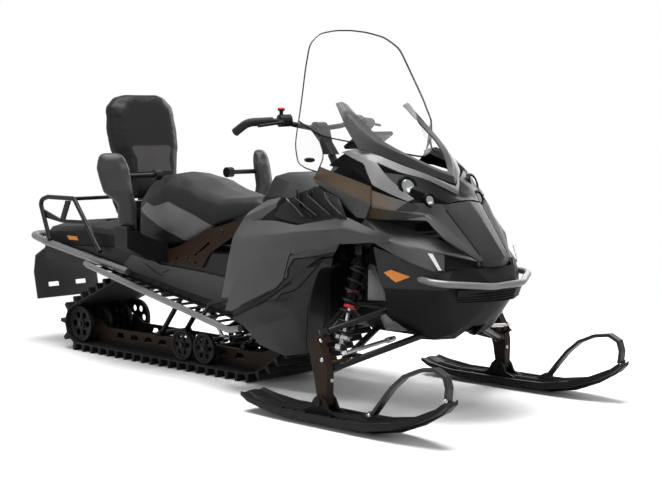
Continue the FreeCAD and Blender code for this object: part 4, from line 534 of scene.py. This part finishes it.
def stuffed(name, voxel, shrink, push, cap):
    """A CAD cushion's form drawn in a little, skinned with small faces and blown up by pressure."""
    form = copy_of(name)
    form.normal_update()
    for vert in form.verts:
        vert.co -= vert.normal * shrink
    mesh = bpy.data.meshes.new(name + "_start")
    form.to_mesh(mesh)
    form.free()
    made = put(bpy.data.objects.new(name + "_start", mesh))
    skin = made.modifiers.new("skin", "REMESH")
    skin.mode, skin.voxel_size = "VOXEL", voxel
    made.data = fresh_mesh(made, name + "_skin")
    made.modifiers.clear()
    start = [v.co.copy() for v in made.data.vertices]
    cloth = made.modifiers.new("cover", "CLOTH")
    cloth.settings.quality = 4
    cloth.settings.mass = 0.3
    cloth.settings.use_pressure = True
    cloth.settings.uniform_pressure_force = push
    cloth.settings.effector_weights.gravity = 0
    cloth.point_cache.frame_start, cloth.point_cache.frame_end = 1, CLOTH_FRAMES
    for step in range(1, CLOTH_FRAMES + 1):
        bpy.context.scene.frame_set(step)
    settled = fresh_mesh(made, name + "_settled")
    made.modifiers.clear()
    bpy.context.scene.frame_set(1)
    for vert, was in zip(settled.vertices, start):
        moved = vert.co - was
        if moved.length > cap:
            vert.co = was + moved * (cap / moved.length)
    made.data = settled
    form = bmesh.new()
    form.from_mesh(made.data)
    bpy.data.objects.remove(made)
    for _ in range(SMOOTHINGS):
        bmesh.ops.smooth_vert(form, verts=form.verts, factor=0.5, use_axis_x=True, use_axis_y=True,
                              use_axis_z=True)
    return form


def cut_zone(form, outline, picked, along=0):
    """Cuts the picked faces along an outline of (x, z) points, or (y, z) points where along is 1, and returns
    those inside it as the second colour."""
    for (xa, za), (xb, zb) in zip(outline, outline[1:] + outline[:1]):
        near = []
        for face in form.faces:
            middle = face.calc_center_median()
            if (picked(face) and min(xa, xb) - NEAR_LINE < middle[along] < max(xa, xb) + NEAR_LINE
                    and min(za, zb) - NEAR_LINE < middle.z < max(za, zb) + NEAR_LINE):
                near.append(face)
        edges = [*dict.fromkeys(e for f in near for e in f.edges)]
        verts = [*dict.fromkeys(v for f in near for v in f.verts)]
        at, way = [0, 0, za], [0, 0, xb - xa]
        at[along], way[along] = xa, za - zb
        bmesh.ops.bisect_plane(form, geom=edges + verts + near, dist=SAME_POINT, plane_co=at, plane_no=way)
    zone = [f for f in form.faces
            if picked(f) and inside(outline, f.calc_center_median()[along], f.calc_center_median().z)]
    for face in zone:
        face.material_index = 1
    return zone


SEAT_PANEL = [(-0.640, 0.703), (-0.582, 0.744), (-0.522, 0.726), (-0.429, 0.751), (-0.278, 0.702),
              (-0.140, 0.652), (-0.080, 0.661), (-0.021, 0.692), (0.110, 0.734), (0.104, 0.712),
              (-0.072, 0.650), (-0.244, 0.577), (-0.333, 0.581), (-0.441, 0.615), (-0.551, 0.663)]
BACK_INSERT = [(-0.121, 0.983), (-0.101, 0.995), (0.101, 0.995), (0.121, 0.983),
               (0.098, 0.930), (0.103, 0.870), (-0.103, 0.870), (-0.098, 0.930)]
STEEP = 0.45

seat_form = stuffed("seat", 9 * MM, 7 * MM, 5, 10 * MM)
seat_seams = []
for side in (-1, 1):
    panel = cut_zone(seat_form, SEAT_PANEL, lambda f: f.normal.y * side > STEEP)
    seat_seams += seam_edges(seat_form, panel)
seat_cover = piece("seat_cover", seat_form, "chassis", "seat_cover", sharp=70)
seat_cover.data.materials.append(grey_vinyl)
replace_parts(seat_cover, "seat")
tube_piece("seat_piping", seat_seams, PIPING, "chassis", "seat_cover")

back_form = stuffed("backrest", 8 * MM, 7 * MM, 5, 9 * MM)
insert = cut_zone(back_form, BACK_INSERT, lambda f: f.normal.x > STEEP, along=1)
back_seams = seam_edges(back_form, insert)
backrest_cover = piece("backrest_cover", back_form, "chassis", "seat_cover", back_vinyl, sharp=70)
backrest_cover.data.materials.append(insert_grey)
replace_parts(backrest_cover, "backrest")
tube_piece("backrest_piping", back_seams, PIPING, "chassis", "seat_cover")

guard_form = stuffed("hand_guards", 6 * MM, 5 * MM, 3, 5 * MM)
guard_pads = piece("hand_guard_pads", guard_form, "chassis", "black_plastic", guard_grey, sharp=70)
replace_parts(guard_pads, "hand_guards")

# lines and shapes laid on the shown pieces

skins = {}


def surface_under(name, start, way):
    """Where a line from start along way first meets a shown piece."""
    if name not in skins:
        skins[name] = BVHTree.FromObject(bpy.data.objects[name], bpy.context.evaluated_depsgraph_get())
    return skins[name].ray_cast(Vector(start), Vector(way).normalized())[0]


def laid_shade_line(name, skin, route, way, radius):
    """Thin dark tubes laid on a shown piece along a route seen from one side, and mirrored on the other:
    painted shade along a seam or crease.
    """
    parts = 8
    lines = []
    for side in (-1, 1):
        mirror = Vector((1, side, 1))
        spots = [Vector(first).lerp(Vector(last), k / parts) * mirror
                 for first, last in zip(route, route[1:]) for k in range(parts)]
        line = [surface_under(skin, at - way * mirror, way * mirror) for at in spots]
        lines.append([spot for spot in line if spot])
    tube_piece(name, lines, radius, "chassis", "black_plastic", edge_smoke)


LOWER_SEAM = [(0.720, 0.588), (0.688, 0.569), (0.594, 0.466), (0.560, 0.447), (0.511, 0.433), (0.485, 0.405)]
HOOD_LINE = [(x, seam_out(x), 0.4) for x in (1.108, 1.180, 1.256)]
FROM_OUTSIDE, FROM_ABOVE = Vector((0, -0.8, 0)), Vector((0, 0, -1.2))
# dark tubes along the side and hood seams, painted shade where the style lines fold
laid_shade_line("side_seam_upper_shade", "side_panels_skin", [(x, 0, z) for x, z in UPPER_SEAM], FROM_OUTSIDE, 3.2 * MM)
laid_shade_line("side_seam_lower_shade", "side_panels_skin", [(x, 0, z) for x, z in LOWER_SEAM], FROM_OUTSIDE, 3.0 * MM)
laid_shade_line("hood_seam_shade", "hood_skin", HOOD_LINE, FROM_ABOVE, 2.4 * MM)

# raised runners along the top of each ski

SKI_OUT = 0.537
SKI_TAIL, SKI_TIP, RUNNER_STEP = 0.560, 1.380, 0.020
RUNNER_SPACING, TIP_BEND = 32 * MM, 0.12
for hand, side in SIDES.items():
    runners = []
    for row in (-1.5, -0.5, 0.5, 1.5):
        out = side * SKI_OUT + row * RUNNER_SPACING
        stations = [SKI_TAIL + k * RUNNER_STEP for k in range(round((SKI_TIP - SKI_TAIL) / RUNNER_STEP) + 1)]
        line = [surface_under(f"ski_{hand}_skin", (x, out, 0.4), (0, 0, -1)) for x in stations]
        line = [spot for spot in line if spot and spot.z < TIP_BEND]
        if len(line) > 4:
            runners.append(line)
    tube_piece(f"ski_runners_{hand}", runners, 3.5 * MM, f"ski_{hand}", "black_plastic")

# louvre blades, standing on the side vents

BLADES = {
    "rear": [(0.474, 0.316, 0.797), (0.490, 0.322, 0.786), (0.527, 0.332, 0.774), (0.609, 0.356, 0.732)],
    "second": [(0.530, 0.313, 0.825), (0.536, 0.325, 0.800), (0.591, 0.337, 0.777), (0.688, 0.363, 0.741)],
    "third": [(0.605, 0.322, 0.834), (0.606, 0.328, 0.814), (0.672, 0.346, 0.786), (0.765, 0.369, 0.748)],
    "front": [(0.702, 0.333, 0.828), (0.714, 0.340, 0.812), (0.750, 0.354, 0.790), (0.824, 0.375, 0.755)],
}
BLADE_SUNK, BLADE_OUT, BLADE_UP, BLADE_WALL = 3 * MM, 20 * MM, 6 * MM, 3.2 * MM
form = bmesh.new()
for line in BLADES.values():
    for side in (-1, 1):
        out = Vector((-0.20, side * 0.92, 0.30))
        feet = [form.verts.new((x, side * y, z)) for x, y, z in line]
        bmesh.ops.translate(form, verts=feet, vec=-BLADE_SUNK * out)
        edges = [form.edges.new(pair) for pair in zip(feet, feet[1:])]
        grown = bmesh.ops.extrude_edge_only(form, edges=edges)["geom"]
        tips = [v for v in grown if isinstance(v, bmesh.types.BMVert)]
        bmesh.ops.translate(form, verts=tips, vec=BLADE_OUT * out + Vector((0, 0, BLADE_UP)))
bmesh.ops.recalc_face_normals(form, faces=form.faces)
blades = piece("louvre_blades", form, "chassis", "graphite_panel", sharp=40)
wall = blades.modifiers.new("wall", "SOLIDIFY")
wall.thickness, wall.offset = BLADE_WALL, 0
round_edges(blades, 0.8 * MM)

# plain inner pieces that close the view between panels


def block(size, middle, rounding, steps):
    """A rounded block of a size, about a middle."""
    form = bmesh.new()
    bmesh.ops.create_cube(form, size=1)
    bmesh.ops.scale(form, verts=form.verts, vec=size)
    bmesh.ops.bevel(form, geom=form.edges[:], offset=rounding, segments=steps, affect="EDGES", profile=0.5,
                    material=-1)
    bmesh.ops.translate(form, verts=form.verts, vec=middle)
    return form


AIR_BOX_MIDDLE, TUNNEL_SLOPE = (0.445, 0, 0.582), 0.03
air_box = block((0.40, 0.36, 0.052), AIR_BOX_MIDDLE, 8 * MM, 3)
for vert in air_box.verts:
    vert.co.z += TUNNEL_SLOPE * (vert.co.x - AIR_BOX_MIDDLE[0])
piece("air_box", air_box, "chassis", "black_plastic", sharp=40)
# a black block in the gap between the hood's tip, the fenders and the hull: painted shade where the floor
# would show through
nose_gap_shade_block = block((0.036, 0.236, 0.034), (1.218, 0, 0.567), 2 * MM, 2)
piece("nose_gap_shade_block", nose_gap_shade_block, "chassis", "black_plastic", sharp=40)

# turned pieces


def turned(form, profile, at, way, steps=24, stretch=1.0):
    """Adds a shape turned from a profile of (radius, height) points that starts and ends on its axis."""
    before = set(form.verts)
    verts = [form.verts.new((radius, 0, height)) for radius, height in profile]
    edges = [form.edges.new(pair) for pair in zip(verts, verts[1:])]
    bmesh.ops.spin(form, geom=verts + edges, axis=(0, 0, 1), cent=(0, 0, 0), dvec=(0, 0, 0),
                   angle=2 * math.pi, steps=steps, use_merge=True)
    bmesh.ops.remove_doubles(form, verts=[v for v in form.verts if v not in before], dist=0.001 * MM)
    fresh = [v for v in form.verts if v not in before]
    bmesh.ops.recalc_face_normals(form, faces=[*dict.fromkeys(f for v in fresh for f in v.link_faces)])
    turn = Vector(way).to_track_quat("Z", "Y").to_matrix().to_4x4()
    placing = Matrix.Translation(at) @ turn @ Matrix.Diagonal((stretch, 1, 1, 1))
    bmesh.ops.transform(form, matrix=placing, verts=fresh)


def dome(radius, rise, steps):
    """A profile of a low dome that closes through its own base."""
    turns = [math.pi / 2 * k / steps for k in range(steps)]
    arc = [(radius * math.cos(turn), rise * math.sin(turn)) for turn in turns]
    return [(0, -0.3 * rise), (radius, -0.3 * rise), *arc, (0, rise)]


# bolts with a socket in the head, each on the body that it holds

SPINDLE_BOLTS = [((0.873, 0.546, 0.306), (0.92, 0, 0.40)), ((0.891, 0.557, 0.239), (0, 1, 0)),
                 ((0.915, 0.531, 0.162), (1, 0, 0))]
LOOP_BOLTS = [((1.471, 0.554, 0.165), (0, 1, 0)), ((1.121, 0.554, 0.065), (0, 1, 0))]
PLATE_BOLTS = [((x, 0.222, z), (0, 1, 0)) for x, z in ((-0.349, 0.484), (-0.262, 0.512), (-0.030, 0.640))]


def bolted(name, body, places, sides, radius, finish=None):
    """Round-headed bolts at (place, direction) pairs given for the left side."""
    head = [(0, -2 * MM), (radius, -2 * MM), (radius, 0.35 * radius), (0.8 * radius, 0.6 * radius),
            (0.42 * radius, 0.66 * radius), (0.36 * radius, 0.3 * radius), (0, 0.3 * radius)]
    form = bmesh.new()
    for side in sides:
        mirror = Vector((1, side, 1))
        for at, way in places:
            turned(form, head, Vector(at) * mirror, Vector(way) * mirror, 20)
    piece(name, form, body, "steel", finish, sharp=35)


for hand, side in SIDES.items():
    bolted(f"spindle_bolts_{hand}", f"spindle_{hand}", SPINDLE_BOLTS, [side], 8 * MM)
    bolted(f"loop_bolts_{hand}", f"ski_{hand}", LOOP_BOLTS, [side], 9 * MM)
bolted("seat_plate_bolts", "chassis", PLATE_BOLTS, SIDES.values(), 9 * MM, black_paint)

# oval fasteners of the side deflectors

form = bmesh.new()
for side in (-1, 1):
    turned(form, [(0, -4 * MM), (9 * MM, -4 * MM), (9 * MM, 2 * MM), (7.5 * MM, 4 * MM), (0, 4.5 * MM)],
           (0.6145, side * 0.3415, 0.960), (0.75, side * 0.54, -0.38), 28, stretch=2.3)
piece("deflector_fasteners", form, "chassis", "black_plastic", sharp=40)

# projector lenses and their shrouds, each given by its place, radius and turn outwards in degrees

FRONT_WAY = Vector((0.93, 0, 0.36))
LENSES = {"outer": ((0.990, 0.196, 0.866), 30 * MM, 16), "inner": ((1.056, 0.146, 0.810), 23 * MM, 10)}
domes, shrouds = bmesh.new(), bmesh.new()
for at, radius, yaw in LENSES.values():
    shroud = [(0.98 * radius, -8 * MM), (0.98 * radius, 3 * MM), (1.1 * radius, 7 * MM),
              (1.3 * radius, 5 * MM), (1.42 * radius, -8 * MM), (0.98 * radius, -8 * MM)]
    for side in (-1, 1):
        way = Matrix.Rotation(math.radians(side * yaw), 3, "Z") @ FRONT_WAY
        seat = surface_under("lamp_visor_skin", Vector(at) * Vector((1, side, 1)) + 0.2 * way, -way)
        turned(domes, dome(radius, 0.22 * radius, 7), seat, way, 32)
        turned(shrouds, shroud, seat, way, 32)
piece("lamp_domes", domes, "chassis", "lamp_glass", lamp_chrome, sharp=50)
piece("lamp_shrouds", shrouds, "chassis", "gloss_black", sharp=40)

# front springs with their red adjusters and caps

SHOCK_LOW, SHOCK_TOP = Vector((0.833, 0.400, 0.262)), Vector((0.829, 0.268, 0.618))
SPRING_TURNS, SPRING_RADIUS, SPRING_WIRE, TURN_STEPS = 8, 31 * MM, 5 * MM, 24
SPRING_FOOT, SPRING_HEAD = 47.3 * MM, 71.3 * MM
CLOSED_TURNS = 0.75
ADJUSTERS_AT = (0.40, 0.62)
CAP_FORWARD = Vector((13 * MM, 0, 0))
ADJUSTER = [(0, 0), (23.5 * MM, 0), (24.5 * MM, 1 * MM), (24.5 * MM, 10 * MM), (23.5 * MM, 11 * MM),
            (0, 11 * MM)]
SHOCK_CAP = [(0, 0), (9 * MM, 0), (10 * MM, 1 * MM), (10 * MM, 8 * MM), (8 * MM, 10 * MM), (0, 10 * MM)]
along_shock = (SHOCK_TOP - SHOCK_LOW).normalized()
across_one = along_shock.cross(Vector((1, 0, 0))).normalized()
across_two = along_shock.cross(across_one).normalized()
spring_length = (SHOCK_TOP - SHOCK_LOW).length - SPRING_HEAD - SPRING_FOOT


def up_spring(share):
    """The point on the shock's axis at a share of the spring's length."""
    return SHOCK_LOW + along_shock * (SPRING_FOOT + spring_length * share)


coils, adjusters, caps = [], bmesh.new(), bmesh.new()
for side in (-1, 1):
    mirror = Vector((1, side, 1))
    coil = []
    for k in range(SPRING_TURNS * TURN_STEPS + 1):
        share = min(max((k / TURN_STEPS - CLOSED_TURNS) / (SPRING_TURNS - 2 * CLOSED_TURNS), 0), 1)
        a = 2 * math.pi * k / TURN_STEPS
        around = SPRING_RADIUS * (across_one * math.cos(a) + across_two * math.sin(a))
        coil.append((up_spring(share) + around) * mirror)
    coils.append(coil)
    for share in ADJUSTERS_AT:
        turned(adjusters, ADJUSTER, up_spring(share) * mirror, along_shock * mirror, 32)
    turned(caps, SHOCK_CAP, (SHOCK_LOW + CAP_FORWARD) * mirror, (1, 0, 0), 20)
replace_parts(tube_piece("spring_coils", coils, SPRING_WIRE, "chassis", "black_paint"), "front_springs")
piece("spring_adjusters", adjusters, "chassis", "black_paint", red_anodised, sharp=40)
piece("shock_caps", caps, "chassis", "black_paint", red_anodised, sharp=40)

# the stop switch's red cap

form = bmesh.new()
turned(form, [(0, 0), (13 * MM, 0), (15 * MM, 2 * MM), (15 * MM, 6 * MM), (12 * MM, 8.5 * MM), (0, 9.5 * MM)],
       (0.338, -0.225, 1.155), (0, 0, 1), 28)
piece("stop_cap", form, "steering", "black_plastic", red_anodised, sharp=40)

# floor, background and light


def seen_ray(add):
    """1 for rays from the camera or off shiny and through clear things, else 0."""
    rays = add("ShaderNodeLightPath").outputs
    first = add("ShaderNodeMath", {0: rays["Is Camera Ray"], 1: rays["Is Glossy Ray"]}, operation="MAXIMUM")
    both = {0: first.outputs["Value"], 1: rays["Is Transmission Ray"]}
    return add("ShaderNodeMath", both, operation="MAXIMUM").outputs["Value"]


FADE_START, FADE_END = 1.9, 3.4
floor_mesh = bpy.data.meshes.new("floor")
form = bmesh.new()
bmesh.ops.create_grid(form, x_segments=1, y_segments=1, size=40)
form.to_mesh(floor_mesh)
form.free()
floor = put(bpy.data.objects.new("floor", floor_mesh))
floor_paint, shader, add, join = new_finish("floor")
place = add("ShaderNodeTexCoord").outputs["Object"]
away = add("ShaderNodeVectorMath", {0: place}, operation="LENGTH").outputs["Value"]
far_share = add("ShaderNodeMapRange", {"Value": away, "From Min": FADE_START, "From Max": FADE_END},
                interpolation_type="SMOOTHSTEP").outputs["Result"]
dust = add("ShaderNodeTexNoise", {"Vector": place, "Scale": 6, "Detail": 2}).outputs["Fac"]
join(shades(add, dust, (0.90, 0.90, 0.90), (0.92, 0.92, 0.92)), shader.inputs["Base Color"])
shader.inputs["Roughness"].default_value = 0.9
shader.inputs["Specular IOR Level"].default_value = 0.0
glow = add("ShaderNodeMath", {0: far_share, 1: seen_ray(add)}, operation="MULTIPLY").outputs["Value"]
white = add("ShaderNodeEmission", {"Color": (1, 1, 1, 1), "Strength": 1.0})
looks = {"Fac": glow, 1: shader.outputs["BSDF"], 2: white.outputs["Emission"]}
both_looks = add("ShaderNodeMixShader", looks)
join(both_looks.outputs["Shader"], floor_paint.node_tree.nodes["Material Output"].inputs["Surface"])
floor_mesh.materials.append(floor_paint)

ROOM_LIGHT, SEEN_WHITE = 0.34, 1.0
world = bpy.data.worlds.new("studio")
bpy.context.scene.world = world
world.use_nodes = True
background = world.node_tree.nodes["Background"]
background.inputs["Color"].default_value = (1, 1, 1, 1)
add = node_maker(world.node_tree)
strength = add("ShaderNodeMapRange", {"Value": seen_ray(add), "To Min": ROOM_LIGHT, "To Max": SEEN_WHITE})
world.node_tree.links.new(strength.outputs["Result"], background.inputs["Strength"])


def softbox(name, at, aim, size, power):
    """A rectangular lamp that faces a point."""
    light = bpy.data.lights.new(name, "AREA")
    light.shape, light.size, light.size_y, light.energy = "RECTANGLE", *size, power
    made = put(bpy.data.objects.new(name, light))
    made.location = at
    made.rotation_euler = (Vector(aim) - Vector(at)).to_track_quat("-Z", "Y").to_euler()


softbox("overhead", (0.3, -0.2, 4.4), (0, 0, 0.4), (4.0, 2.6), 400)
softbox("near_side", (0.8, -5.4, 2.2), (0, 0, 0.6), (4.5, 1.6), 40)
softbox("front", (5.4, 1.4, 2.0), (0.6, 0, 0.5), (2.4, 2.0), 45)
softbox("far_side", (-1.5, 5.0, 2.6), (0, 0, 0.7), (5.0, 2.0), 90)
